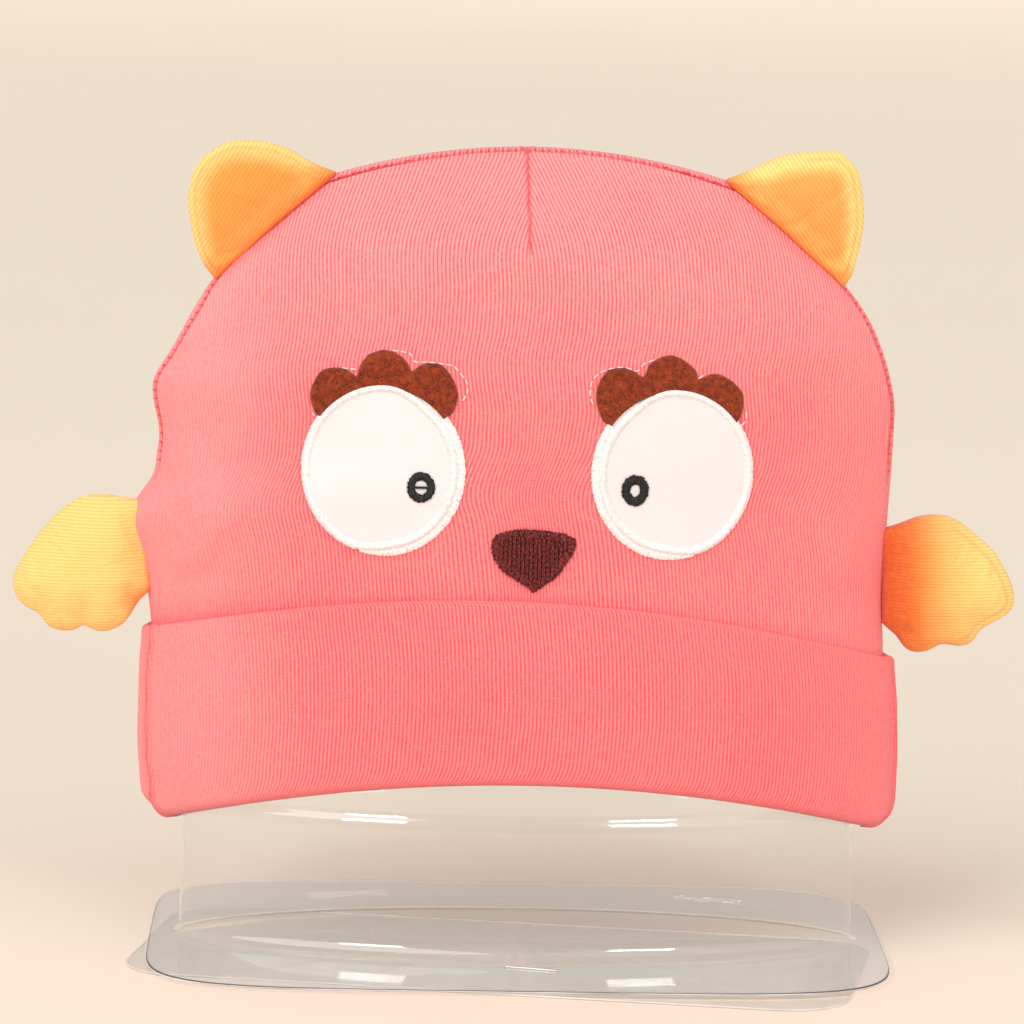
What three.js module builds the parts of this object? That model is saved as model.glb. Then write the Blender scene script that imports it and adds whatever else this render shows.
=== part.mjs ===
import * as THREE from 'three';

// A knitted baby hat with a turned-up cuff, two ears, two wings and a sewn-on face, pulled over
// a clear formed display stand. Millimetres, +Z up, the face looks towards -Y, and the stand's
// base sheet rests on z = 0 with the origin under the middle of the stand.

// Cloth, seams and clearances
const clothWall = 2;
const seamGap = 0.3;
const trimGap = 0.3;

// Hat body, measured flat across its side seams and up from the table
const hatHalfWidth = 93;
const crownBaseZ = 33.9;
const crownSeamHeight = 160.9;
const frontDepth = 33;
const backDepth = 28;
const bellyShare = 0.65;
const topRound = 2.2;
const fullDepthShare = 0.4;

// Cuff, the lower cloth turned up over the outside
const cuffHeight = 46.4;
const cuffWall = 2.6;
const cuffFold = 2.6;
const hemArch = 15.4;
const foldPoints = 5;

// Soft folds start a little above the cuff and reach their full height over the fade
const foldStart = 2;
const foldFade = 10;

// Ears, sewn into the slanting corners of the crown
const earHeight = 24.3;
const earThickness = 11;
const earRim = 1.6;
const earRoundness = 2.2;
const earFullness = 0.75;

// Wings, sewn into the side seams just above the cuff
const wingReachLeft = 35.4;
const wingReachRight = 36.3;
const wingHeight = 34.6;
const wingThickness = 13;
const wingRim = 1.6;
const wingCentreLeftZ = 99.5;
const wingCentreRightZ = 97.5;

// Eyes and pupils
const eyeCentreX = 35.8;
const eyeCentreZ = 124.5;
const eyeHalfWidth = 20;
const eyeHalfHeight = 21.2;
const eyeBorderWidth = 2.5;
const eyeBorderHeight = 1.6;
const patchThickness = 0.9;
const pupilX = 26.6;
const pupilZ = 120.2;
const pupilHalfWidth = 3.3;
const pupilHalfHeight = 3.6;
const pupilLine = 1.3;
const pupilHeight = 0.8;

// Brows, tucked under the eyes' borders, and the nose
const browThickness = 1.2;
const browLobeDistance = 22.6;
const browLeastWidth = 0.8;
const browStartAngle = 32;
const browEndAngle = 149;
const noseX = 1.4;
const noseZ = 103.6;
const noseHalfWidth = 10.4;
const noseHeight = 15.2;
const noseThickness = 1.2;
const noseEdgeDrop = 0.4;

// Display stand, one clear sheet formed into a flat foot and a tall hollow form that the hat is
// pulled over. The slacks are the play between the form and the inside of the cloth.
const standWall = 1;
const footHalfWidth = 93.5;
const footHalfDepth = 64;
const formSlack = 0.4;
const formEndSlack = 7;
const formTopSlack = 6.3;
const creaseZ = 36.5;

// Base sheet, a loose flat sheet under the front of the foot, stapled to it a little askew
const baseSheetWall = 0.4;
const baseSheetDepth = 80;
const baseSheetInset = 3;
const baseSheetCorner = 16;
const baseSheetTurn = -10.5;
const baseSheetGap = 0.3;

// Facets round each form
const crownColumns = 24;
const formColumns = 40;
const patchColumns = 24;
const borderColumns = 28;
const pupilColumns = 14;
const browColumns = 24;
const earColumns = 12;
const padRings = 5;
const cornerFacets = 6;

// Rows go up each side seam to the ear's lower end, then along the ear's root to the top seam.
// height is a share of crownSeamHeight, left and right are shares of hatHalfWidth, arch is a
// share of hemArch, and steps is how many facets the stretch up to the next row takes.
const crownRows = [
  { height: 0, left: 1, right: 1, arch: 1, steps: 3 },
  { height: 0.268, left: 1.005, right: 0.99, arch: 1, steps: 1 },
  { height: 0.349, left: 1.02, right: 0.981, arch: 0.93, steps: 2 },
  { height: 0.451, left: 1.061, right: 0.989, arch: 0.82, steps: 1 },
  { height: 0.498, left: 1.035, right: 0.993, arch: 0.78, steps: 1 },
  { height: 0.56, left: 0.998, right: 0.999, arch: 0.72, steps: 2 },
  { height: 0.659, left: 1.01, right: 1.002, arch: 0.62, steps: 1 },
  { height: 0.722, left: 0.963, right: 0.976, arch: 0.57, steps: 1 },
  { height: 0.784, left: 0.908, right: 0.933, arch: 0.53, steps: 1 },
  { height: 0.837, left: 0.854, right: 0.867, arch: 0.5, steps: 2 },
  { height: 0.919, left: 0.7, right: 0.707, arch: 0.5, steps: 2 },
  { height: 0.97, left: 0.602, right: 0.606, arch: 0.51, steps: 3 },
  { height: 1, left: 0.545, right: 0.545, arch: 0.52, steps: 0 },
];
const earRootShare = 0.837;

// Soft folds where the wings pull on the side seams. across is a share of hatHalfWidth and
// height a share of crownSeamHeight; slope turns the fold from upright, in degrees; push, width
// and length are shares of frontDepth.
const foldRows = [
  { side: -1, across: 0.88, height: 0.42, slope: 35, push: 0.07, width: 0.16, length: 0.5 },
  { side: -1, across: 0.93, height: 0.56, slope: -25, push: 0.05, width: 0.14, length: 0.4 },
  { side: 1, across: 0.88, height: 0.4, slope: -20, push: 0.05, width: 0.15, length: 0.5 },
];

// The cuff's outer wall from its top edge down. out and roll are shares of cuffWall, and rise
// is a share of cuffHeight; roll lifts or drops the rolled top edge.
const cuffRows = [
  { out: 0, rise: 1, roll: 0 },
  { out: 0.5, rise: 1, roll: 0.3 },
  { out: 1, rise: 1, roll: -0.2 },
  { out: 1.35, rise: 0.5, roll: 0 },
];

// A wing's outline as seen from the middle of its root: angle from straight up, and reach as a
// share of the wing's span. The lower edge has three round lobes.
const wingOutline = [
  { angle: 0, reach: 0.36 },
  { angle: 25, reach: 0.43 },
  { angle: 40, reach: 0.52 },
  { angle: 55, reach: 0.6 },
  { angle: 75, reach: 0.69 },
  { angle: 92, reach: 0.86 },
  { angle: 101, reach: 0.97 },
  { angle: 108, reach: 1 },
  { angle: 115, reach: 0.96 },
  { angle: 120, reach: 0.9 },
  { angle: 130, reach: 0.88 },
  { angle: 136, reach: 0.82 },
  { angle: 140, reach: 0.73 },
  { angle: 147, reach: 0.7 },
  { angle: 154, reach: 0.67 },
  { angle: 161, reach: 0.58 },
  { angle: 168, reach: 0.43 },
  { angle: 180, reach: 0.31 },
];

// Sections of the stitched rings round the eyes and pupils. inset is a share of the ring's
// width, inwards, and rise a share of its height.
const borderSection = [
  { inset: 0, rise: 0 },
  { inset: 0, rise: 0.6 },
  { inset: 0.3, rise: 1 },
  { inset: 0.7, rise: 1 },
  { inset: 1, rise: 0.6 },
  { inset: 1, rise: 0 },
];
const pupilSection = [
  { inset: 0, rise: 0 },
  { inset: 0.15, rise: 1 },
  { inset: 0.85, rise: 1 },
  { inset: 1, rise: 0 },
];

// The three round lobes of a brow, seen from the middle of its eye: angle from the +X side, and
// radius as a share of browLobeDistance.
const browLobes = [
  { angle: 122, radius: 0.265 },
  { angle: 91, radius: 0.31 },
  { angle: 60, radius: 0.283 },
];

// The nose's rounded triangle: angle from the +X side, reach across as a share of noseHalfWidth
// and reach along as a share of noseHeight.
const noseOutline = [
  { angle: 0, across: 0.93, along: 0 },
  { angle: 20, across: 0.97, along: 0.2 },
  { angle: 32, across: 0.84, along: 0.32 },
  { angle: 60, across: 0.42, along: 0.38 },
  { angle: 90, across: 0, along: 0.4 },
  { angle: 120, across: -0.42, along: 0.39 },
  { angle: 148, across: -0.84, along: 0.33 },
  { angle: 160, across: -0.97, along: 0.2 },
  { angle: 180, across: -0.9, along: 0.02 },
  { angle: 215, across: -0.57, along: -0.28 },
  { angle: 250, across: -0.2, along: -0.54 },
  { angle: 270, across: -0.02, along: -0.59 },
  { angle: 290, across: 0.18, along: -0.53 },
  { angle: 325, across: 0.56, along: -0.26 },
];

// The stand's foot and upright wall, from the foot's edge inwards and up. rise is a share of
// creaseZ; foot blends from the form's plan, 0, to the foot's, 1; size is a share of the form's
// plan; ends squares the plan's ends, 1 for an ellipse and less for a rounded oblong.
const footRows = [
  { rise: 0, foot: 1, size: 1, ends: 0.36 },
  { rise: 0, foot: 0.5, size: 1, ends: 0.6 },
  { rise: 0, foot: 0.1, size: 1, ends: 0.9 },
  { rise: 0.03, foot: 0.03, size: 1, ends: 1 },
  { rise: 0.1, foot: 0, size: 1, ends: 1 },
  { rise: 0.55, foot: 0, size: 0.995, ends: 1 },
  { rise: 1, foot: 0, size: 0.985, ends: 1 },
];
// Where the form's own rows lie, as shares of its height above the crease, and how much the
// plan narrows towards its ends.
const formShares = [0.02, 0.18, 0.37, 0.53, 0.66, 0.75, 0.83, 0.9, 0.95, 0.985];
const planBow = 1.25;

const radians = THREE.MathUtils.degToRad;
const lerp = THREE.MathUtils.lerp;

// The row values at a place between rows, in proportion.
function between(rows, key, value, columns) {
  let n = 1;
  while (n < rows.length - 1 && rows[n][key] < value) n += 1;
  const low = rows[n - 1];
  const high = rows[n];
  const share = THREE.MathUtils.clamp((value - low[key]) / (high[key] - low[key]), 0, 1);
  return Object.fromEntries(columns.map((c) => [c, lerp(low[c], high[c], share)]));
}

// One closed solid from an outer and an inner sheet with the same grid. A sheet is a list of
// rows of points. Where wrap is true the last column joins the first; where a row has a single
// point, it is a pole.
function closedShell(outer, inner, wrap) {
  const positions = [];
  const put = (sheet) => sheet.map((row) => row.map((p) => positions.push(...p) / 3 - 1));
  const outside = put(outer);
  const inside = put(inner);
  const faces = [];
  const triangle = (a, b, c) => {
    if (a !== b && b !== c && a !== c) faces.push([a, b, c]);
  };
  const quad = ([a, b, c, d]) => {
    triangle(a, b, c);
    triangle(a, c, d);
  };
  const count = Math.max(...outside.map((row) => row.length));
  const at = (row, column) => row[row.length === 1 ? 0 : column % row.length];
  const cell = (sheet, r, c) => {
    const [low, high] = [sheet[r], sheet[r + 1]];
    return [at(low, c), at(low, c + 1), at(high, c + 1), at(high, c)];
  };
  const spans = wrap ? count : count - 1;
  for (let r = 0; r + 1 < outside.length; r += 1) {
    for (let c = 0; c < spans; c += 1) {
      quad(cell(outside, r, c));
      quad(cell(inside, r, c).reverse());
    }
  }
  for (const [r, flip] of [[0, false], [outside.length - 1, true]]) {
    if (outside[r].length === 1) continue;
    for (let c = 0; c < spans; c += 1) {
      const [near, far] = [outside[r], inside[r]];
      const edge = [at(near, c + 1), at(near, c), at(far, c), at(far, c + 1)];
      quad(flip ? edge.reverse() : edge);
    }
  }
  if (!wrap) {
    for (const [c, flip] of [[0, false], [count - 1, true]]) {
      for (let r = 0; r + 1 < outside.length; r += 1) {
        const near = [at(outside[r], c), at(outside[r + 1], c)];
        const edge = [...near, at(inside[r + 1], c), at(inside[r], c)];
        quad(flip ? edge.reverse() : edge);
      }
    }
  }
  return facingOut(positions, faces);
}

// One closed solid swept round a ring: the section's points are the rows, and both the rows
// and the stations join end to end.
function ringSolid(rows) {
  const positions = rows.flat(2);
  const count = rows[0].length;
  const faces = [];
  rows.forEach((_, r) => {
    const next = (r + 1) % rows.length;
    for (let c = 0; c < count; c += 1) {
      const beside = (c + 1) % count;
      faces.push([r * count + c, r * count + beside, next * count + beside]);
      faces.push([r * count + c, next * count + beside, next * count + c]);
    }
  });
  return facingOut(positions, faces);
}

// The same faces turned over where they enclose a negative volume.
function facingOut(positions, faces) {
  const point = (n) => new THREE.Vector3(...positions.slice(3 * n, 3 * n + 3));
  let volume = 0;
  for (const [a, b, c] of faces) volume += point(a).dot(point(b).cross(point(c)));
  const geometry = new THREE.BufferGeometry();
  geometry.setAttribute('position', new THREE.Float32BufferAttribute(positions, 3));
  geometry.setIndex(faces.flatMap((f) => (volume < 0 ? [...f].reverse() : f)));
  geometry.computeVertexNormals();
  return geometry;
}

// The hat's seam outline at a height share: the side seam's x on each side, its z, and how much
// higher the cloth stands midway between the seams.
function outlineAt(height) {
  const row = between(crownRows, 'height', height, ['left', 'right', 'arch']);
  return {
    left: -row.left * hatHalfWidth,
    right: row.right * hatHalfWidth,
    z: crownBaseZ + height * crownSeamHeight,
    arch: row.arch * hemArch,
  };
}

// How deep the cloth stands in front of the seam at a height share, from 1 to 0 at the top.
function depthShare(height) {
  const above = Math.max(0, (height - fullDepthShare) / (1 - fullDepthShare));
  return Math.sqrt(Math.max(0, 1 - above ** topRound));
}

// How far the folds push a point of the front cloth outwards.
function foldPush(x, z) {
  const start = outlineAt(cuffHeight / crownSeamHeight).z + foldStart;
  const clear = THREE.MathUtils.smoothstep(z, start, start + foldFade);
  let push = 0;
  for (const f of foldRows) {
    const dx = x - f.side * f.across * hatHalfWidth;
    const dz = z - crownBaseZ - f.height * crownSeamHeight;
    const turn = radians(f.slope);
    const along = (dx * Math.sin(turn) + dz * Math.cos(turn)) / (f.length * frontDepth);
    const aside = (dx * Math.cos(turn) - dz * Math.sin(turn)) / (f.width * frontDepth);
    push += f.push * frontDepth * Math.exp(-along * along - aside * aside);
  }
  return push * clear;
}

// A point of the hat's outer surface. across runs from -1 at the left seam to 1 at the right
// one, depth is the front's or the back's, and spread moves the point outwards.
function hatPoint(across, height, depth, facing, spread = 0) {
  const o = outlineAt(height);
  const middle = (o.left + o.right) / 2;
  const half = (o.right - o.left) / 2 + spread;
  const x = middle + across * half;
  const z = o.z + o.arch * (1 - across * across);
  const belly = (1 - across * across) ** bellyShare;
  const seamFade = Math.min(1, 4 * belly);
  const folds = facing < 0 ? foldPush(x, z) * seamFade : 0;
  const y = (depth + spread) * depthShare(height) * belly + folds;
  return [x, facing * (seamGap / 2 + y), z];
}

// How far in front of the seam plane the front cloth lies at a place on the face. The height
// share of that place is found by halving the range it lies in.
function faceDepth(x, z) {
  const halvings = 40;
  let low = 0;
  let high = 1;
  for (let n = 0; n < halvings; n += 1) {
    const mid = (low + high) / 2;
    const o = outlineAt(mid);
    const across = (2 * x - o.left - o.right) / (o.right - o.left);
    if (o.z + o.arch * (1 - across * across) < z) low = mid;
    else high = mid;
  }
  const found = outlineAt(low);
  const share = (2 * x - found.left - found.right) / (found.right - found.left);
  return -hatPoint(share, low, frontDepth, -1)[1];
}

// A place between -1 and 1 across a panel, closer together towards its edges.
function spaced(n, columns) {
  return Math.sin((n / columns - 0.5) * Math.PI);
}

// A panel of the crown: the outer cloth surface, and the same surface drawn in by the wall.
function crownPanel(depth, facing) {
  const heights = crownRows.flatMap((row, n) => {
    const next = crownRows[n + 1] ?? row;
    const steps = Math.max(1, row.steps);
    return Array.from({ length: steps }, (_, s) => lerp(row.height, next.height, s / steps));
  });
  const acrosses = Array.from({ length: crownColumns + 1 }, (_, n) => spaced(n, crownColumns));
  const shrink = [
    1 - clothWall / hatHalfWidth,
    1 - clothWall / depth,
    1 - clothWall / crownSeamHeight,
  ];
  const drawIn = ([x, y, z]) => [
    x * shrink[0],
    facing * (seamGap / 2 + (Math.abs(y) - seamGap / 2) * shrink[1]),
    crownBaseZ + (z - crownBaseZ) * shrink[2],
  ];
  const outer = heights.map((h) => acrosses.map((a) => hatPoint(a, h, depth, facing)));
  const inner = outer.map((row) => row.map(drawIn));
  inner[0].forEach((p, n) => { p[2] = outer[0][n][2]; });
  return closedShell(outer, inner, false);
}

// The cuff: one ring with a J section. Its outer wall stands outside the crown, and its fold
// turns in under the crown's lower edge.
function cuffRing() {
  const lowest = crownBaseZ - seamGap - cuffFold;
  const inside = seamGap;
  const outside = seamGap + cuffWall;
  const section = cuffRows.map(({ out, rise, roll }) => ({
    spread: inside + out * cuffWall,
    z: lowest + rise * cuffHeight + roll * cuffWall,
  }));
  for (let n = 0; n <= foldPoints; n += 1) {
    const turn = (n / foldPoints) * (Math.PI / 2);
    section.push({
      spread: outside - cuffWall * (1 - Math.cos(turn)),
      z: lowest + cuffFold * (1 - Math.sin(turn)),
    });
  }
  section.push({ spread: -clothWall, z: lowest });
  section.push({ spread: -clothWall, z: lowest + cuffFold });
  section.push({ spread: inside, z: lowest + cuffFold });
  const stations = [];
  for (const facing of [-1, 1]) {
    for (let n = 0; n < crownColumns; n += 1) {
      stations.push({ across: -facing * spaced(n, crownColumns), facing });
    }
  }
  return ringSolid(section.map(({ spread, z }) => stations.map(({ across, facing }) => {
    const height = Math.max(0, (z - crownBaseZ) / crownSeamHeight);
    const depth = facing < 0 ? frontDepth : backDepth;
    const [x, y] = hatPoint(across, height, depth, facing, spread);
    return [x, Math.abs(across) === 1 ? 0 : y, z + hemArch * (1 - across * across)];
  })));
}

// A padded ear. side is -1 for the left one; its root lies along the crown's slanting corner.
function ear(side) {
  const low = outlineAt(earRootShare);
  const high = outlineAt(1);
  const edge = side < 0 ? 'left' : 'right';
  const root = new THREE.Vector2(low[edge], low.z);
  const along = new THREE.Vector2(high[edge], high.z).sub(root);
  const out = new THREE.Vector2(side * along.y, -side * along.x).normalize();
  const sheet = (facing) => Array.from({ length: padRings + 1 }, (_, r) => {
    const up = Math.sin((r / padRings) * (Math.PI / 2));
    return Array.from({ length: earColumns + 1 }, (_unused, c) => {
      const s = spaced(c, earColumns);
      const height = earHeight * (1 - Math.abs(s) ** earRoundness) ** earFullness;
      const lift = trimGap + up * Math.max(height, 2 * earRim);
      const place = root.clone().addScaledVector(along, (s + 1) / 2).addScaledVector(out, lift);
      const swell = Math.sqrt((1 - up * up) * (1 - s * s));
      const half = earRim / 2 + (earThickness - earRim) / 2 * swell;
      return [place.x, facing * half, place.y];
    });
  });
  return closedShell(sheet(-1), sheet(1), false);
}

// A padded wing, fanned out from the middle of its root on the side seam.
function wing(side) {
  const edge = side < 0 ? 'left' : 'right';
  const centreZ = side < 0 ? wingCentreLeftZ : wingCentreRightZ;
  const span = side < 0 ? wingReachLeft : wingReachRight;
  const seamAt = (z) => outlineAt((z - crownBaseZ) / crownSeamHeight)[edge];
  const sheet = (facing) => {
    const middle = [seamAt(centreZ) + side * trimGap, facing * wingThickness / 2, centreZ];
    const rings = Array.from({ length: padRings }, (_, n) => {
      const share = (n + 1) / padRings;
      const half = wingRim / 2 + (wingThickness - wingRim) / 2 * Math.sqrt(1 - share * share);
      return wingOutline.map(({ angle, reach }) => {
        const turn = radians(angle);
        const z = centreZ + share * reach * wingHeight * Math.cos(turn);
        const out = trimGap + share * reach * span * Math.sin(turn);
        return [seamAt(z) + side * out, facing * half, z];
      });
    });
    return [[middle], ...rings];
  };
  return closedShell(sheet(-1), sheet(1), false);
}

// A flat trim laid on the face: rings of places [x, z] from its middle outwards. Its back lies
// trimGap from the cloth, and its front stands rise(share) higher.
function faceTrim(centre, outline, rise) {
  const rings = 3;
  const sheet = (extra) => Array.from({ length: rings + 1 }, (_, r) => {
    const share = r / rings;
    const places = r === 0 ? [centre] : outline.map(([x, z]) => [
      lerp(centre[0], x, share),
      lerp(centre[1], z, share),
    ]);
    return places.map(([x, z]) => [x, -(faceDepth(x, z) + trimGap + extra(share)), z]);
  });
  return closedShell(sheet(rise), sheet(() => 0), true);
}

// A stitched ring on the face: its section goes round an ellipse, base above the cloth.
function faceRing(place, section, width, height, base) {
  return ringSolid(section.map(({ inset, rise }) => {
    const drop = inset * width;
    return ellipse(place, drop).map(([x, z]) => [x, -(faceDepth(x, z) + base + rise * height), z]);
  }));
}

// Points of an ellipse on the face, drawn in by drop.
function ellipse({ x, z, halfWidth, halfHeight, columns }, drop) {
  return Array.from({ length: columns }, (_, n) => {
    const turn = (n / columns) * 2 * Math.PI;
    return [x + (halfWidth - drop) * Math.cos(turn), z + (halfHeight - drop) * Math.sin(turn)];
  });
}

// Where an eye lies, as an ellipse of the given number of columns.
function eyePlace(side, columns) {
  const [halfWidth, halfHeight] = [eyeHalfWidth, eyeHalfHeight];
  return { x: side * eyeCentreX, z: eyeCentreZ, halfWidth, halfHeight, columns };
}

// The white patch of an eye, inside its border.
function eyePatch(side) {
  const rim = ellipse(eyePlace(side, patchColumns), eyeBorderWidth + trimGap);
  return faceTrim([side * eyeCentreX, eyeCentreZ], rim, () => patchThickness);
}

// The stitched cord round an eye, low and round on top.
function eyeBorder(side) {
  const place = eyePlace(side, borderColumns);
  return faceRing(place, borderSection, eyeBorderWidth, eyeBorderHeight, trimGap);
}

// A pupil: a small stitched ring on the patch.
function pupil(side) {
  const place = {
    x: side * pupilX,
    z: pupilZ,
    halfWidth: pupilHalfWidth,
    halfHeight: pupilHalfHeight,
    columns: pupilColumns,
  };
  return faceRing(place, pupilSection, pupilLine, pupilHeight, 2 * trimGap + patchThickness);
}

// How far a brow's lobes reach from the middle of its eye at an angle from the +X side.
function lobeReach(side, angle) {
  return Math.max(...browLobes.map((lobe) => {
    const centreAngle = side < 0 ? lobe.angle : 180 - lobe.angle;
    const aside = radians(angle - centreAngle);
    const across = browLobeDistance * Math.sin(aside);
    const radius = lobe.radius * browLobeDistance;
    if (Math.abs(across) >= radius) return 0;
    return browLobeDistance * Math.cos(aside) + Math.sqrt(radius ** 2 - across ** 2);
  }));
}

// A felt brow: three round lobes that stand out above the eye's border.
function brow(side) {
  const a = eyeHalfWidth + trimGap;
  const b = eyeHalfHeight + trimGap;
  const sheet = (extra) => [0, 0.5, 1].map((share) =>
    Array.from({ length: browColumns + 1 }, (_, n) => {
      const angle = lerp(browStartAngle, browEndAngle, n / browColumns);
      const turn = radians(angle);
      const inner = (a * b) / Math.hypot(b * Math.cos(turn), a * Math.sin(turn));
      const outer = Math.max(inner + browLeastWidth, lobeReach(side, angle));
      const reach = lerp(inner, outer, share);
      const x = side * eyeCentreX + reach * Math.cos(turn);
      const z = eyeCentreZ + reach * Math.sin(turn);
      return [x, -(faceDepth(x, z) + trimGap + extra), z];
    }));
  return closedShell(sheet(browThickness), sheet(0), false);
}

function nose() {
  const rim = noseOutline.map(({ across, along }) =>
    [noseX + across * noseHalfWidth, noseZ + along * noseHeight]);
  return faceTrim([noseX, noseZ], rim, (share) => noseThickness * (1 - noseEdgeDrop * share ** 4));
}

// The form's half length and its depths at a height, inside the cloth at the same height.
function formPlan(z) {
  const outside = crownBaseZ + (z - crownBaseZ) / (1 - clothWall / crownSeamHeight);
  const share = Math.min(1, (faceDepth(0, outside) - seamGap / 2) / frontDepth);
  return {
    half: (hatHalfWidth - formEndSlack) * share,
    front: (frontDepth - clothWall) * share - formSlack,
    back: (backDepth - clothWall) * share - formSlack,
  };
}

// The clear stand: an outer and an inner sheet a wall apart, open below.
function standShell() {
  const topZ = crownBaseZ + crownSeamHeight + crownRows.at(-1).arch * hemArch - formTopSlack;
  const footZ = baseSheetWall + baseSheetGap + standWall;
  const base = formPlan(creaseZ);
  const rows = footRows.map(({ rise, foot, size, ends }) => ({
    half: lerp(base.half * size, footHalfWidth, foot),
    front: lerp(base.front * size, footHalfDepth, foot),
    back: lerp(base.back * size, footHalfDepth, foot),
    bow: lerp(planBow, ends, Math.min(1, 2 * foot)),
    z: lerp(footZ, creaseZ, rise),
    ends,
  }));
  for (const share of formShares) {
    const z = lerp(creaseZ, topZ, share);
    rows.push({ ...formPlan(z), bow: planBow, ends: 1, z });
  }
  const slopeOf = (n) => {
    const before = rows[Math.max(0, n - 1)];
    const after = rows[Math.min(rows.length - 1, n + 1)];
    return new THREE.Vector2(after.front - before.front, after.z - before.z).normalize();
  };
  const sheet = (wall) => rows.map((row, n) => {
    const slope = slopeOf(n);
    const drawIn = wall * slope.y;
    const z = row.z + wall * Math.min(0, slope.x);
    return Array.from({ length: formColumns }, (_, c) => {
      const turn = ((c + 0.5) / formColumns) * 2 * Math.PI;
      const cos = Math.cos(turn);
      const sin = Math.sin(turn);
      const depth = (sin < 0 ? row.front : row.back) - drawIn;
      const x = (row.half - drawIn) * Math.sign(cos) * Math.abs(cos) ** row.ends;
      return [x, Math.sign(sin) * depth * Math.abs(sin) ** row.bow, z];
    });
  });
  const pole = (wall) => [[0, 0, topZ - wall]];
  return closedShell([...sheet(0), pole(0)], [...sheet(standWall), pole(standWall)], true);
}

// The base sheet: a flat oblong with round corners. Turned about the middle of the foot, its
// front edge crosses the foot's front edge there.
function baseSheet() {
  const turn = radians(baseSheetTurn);
  const right = footHalfWidth - baseSheetInset;
  const front = -footHalfDepth * Math.cos(turn);
  const back = front + baseSheetDepth;
  const corner = baseSheetCorner;
  const outline = new THREE.Shape();
  outline.absarc(right - corner, front + corner, corner, -Math.PI / 2, 0);
  outline.absarc(right - corner, back - corner, corner, 0, Math.PI / 2);
  outline.absarc(corner - right, back - corner, corner, Math.PI / 2, Math.PI);
  outline.absarc(corner - right, front + corner, corner, Math.PI, 1.5 * Math.PI);
  const options = { depth: baseSheetWall, bevelEnabled: false, curveSegments: cornerFacets };
  return new THREE.ExtrudeGeometry(outline, options).rotateZ(turn);
}

function part(name, geometry, colour, roughness) {
  const material = new THREE.MeshStandardMaterial({ color: colour, roughness, metalness: 0 });
  const mesh = new THREE.Mesh(geometry, material);
  mesh.name = name;
  return mesh;
}

const coral = 0xf98b8c;
const yellow = 0xfcc866;
const white = 0xf4ecea;
const brown = 0x7e3a22;
const maroon = 0x5b2321;
const black = 0x1c1a1c;
const clear = 0xe6ecee;

const group = new THREE.Group();
group.add(part('crown_front', crownPanel(frontDepth, -1), coral, 0.9));
group.add(part('crown_back', crownPanel(backDepth, 1), coral, 0.9));
group.add(part('cuff', cuffRing(), coral, 0.9));
group.add(part('nose', nose(), maroon, 0.6));
group.add(part('display_stand', standShell(), clear, 0.1));
group.add(part('base_sheet', baseSheet(), clear, 0.1));
for (const [side, word] of [[-1, 'left'], [1, 'right']]) {
  group.add(part(`ear_${word}`, ear(side), yellow, 0.9));
  group.add(part(`wing_${word}`, wing(side), yellow, 0.9));
  group.add(part(`eye_patch_${word}`, eyePatch(side), white, 0.85));
  group.add(part(`eye_border_${word}`, eyeBorder(side), white, 0.7));
  group.add(part(`pupil_${word}`, pupil(side), black, 0.6));
  group.add(part(`brow_${word}`, brow(side), brown, 0.95));
}

export default group;
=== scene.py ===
import math
import random

import bmesh
import bpy
from mathutils import Matrix, Vector, noise


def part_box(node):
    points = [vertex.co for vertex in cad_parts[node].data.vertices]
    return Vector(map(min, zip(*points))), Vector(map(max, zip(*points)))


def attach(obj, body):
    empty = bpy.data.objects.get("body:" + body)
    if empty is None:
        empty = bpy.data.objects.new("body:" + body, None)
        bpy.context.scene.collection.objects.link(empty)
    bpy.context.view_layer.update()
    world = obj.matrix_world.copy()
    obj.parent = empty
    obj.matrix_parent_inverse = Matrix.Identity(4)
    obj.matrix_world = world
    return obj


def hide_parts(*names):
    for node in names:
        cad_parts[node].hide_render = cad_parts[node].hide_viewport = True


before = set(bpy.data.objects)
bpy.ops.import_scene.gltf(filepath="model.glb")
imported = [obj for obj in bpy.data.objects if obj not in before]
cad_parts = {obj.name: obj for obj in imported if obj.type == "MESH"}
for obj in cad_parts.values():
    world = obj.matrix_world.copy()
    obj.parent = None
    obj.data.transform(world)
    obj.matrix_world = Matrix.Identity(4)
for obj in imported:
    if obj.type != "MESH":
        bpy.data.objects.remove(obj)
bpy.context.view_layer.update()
scene = bpy.context.scene
MM = 0.001

# Camera: a long lens 1.3 m in front of the hat, looking a little down on it, with the slight
# turn and tilt of the photograph.
camera_distance = 1.3029
camera_height = 0.2937
camera_aside = -0.003
camera_turn = math.radians(-1.5)
camera_pitch = math.radians(8.01)
camera_roll = math.radians(1.15)
focal_pixels = 5200
photo_pixels = 1024

ahead = Vector((
    -math.sin(camera_turn) * math.cos(camera_pitch),
    math.cos(camera_turn) * math.cos(camera_pitch),
    -math.sin(camera_pitch),
))
level = Vector((math.cos(camera_turn), math.sin(camera_turn), 0))
above = level.cross(ahead)
camera_right = level * math.cos(camera_roll) + above * math.sin(camera_roll)
camera_up = above * math.cos(camera_roll) - level * math.sin(camera_roll)
camera_data = bpy.data.cameras.new("camera")
camera_data.sensor_width = 36
camera_data.lens = camera_data.sensor_width * focal_pixels / photo_pixels
camera = bpy.data.objects.new("camera", camera_data)
scene.collection.objects.link(camera)
camera_place = Vector((
    camera_distance * math.sin(camera_turn),
    -camera_distance * math.cos(camera_turn),
    camera_height,
)) + camera_right * camera_aside
camera_axes = Matrix((camera_right, camera_up, -ahead)).transposed().to_4x4()
camera.matrix_world = Matrix.Translation(camera_place) @ camera_axes
scene.camera = camera


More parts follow.
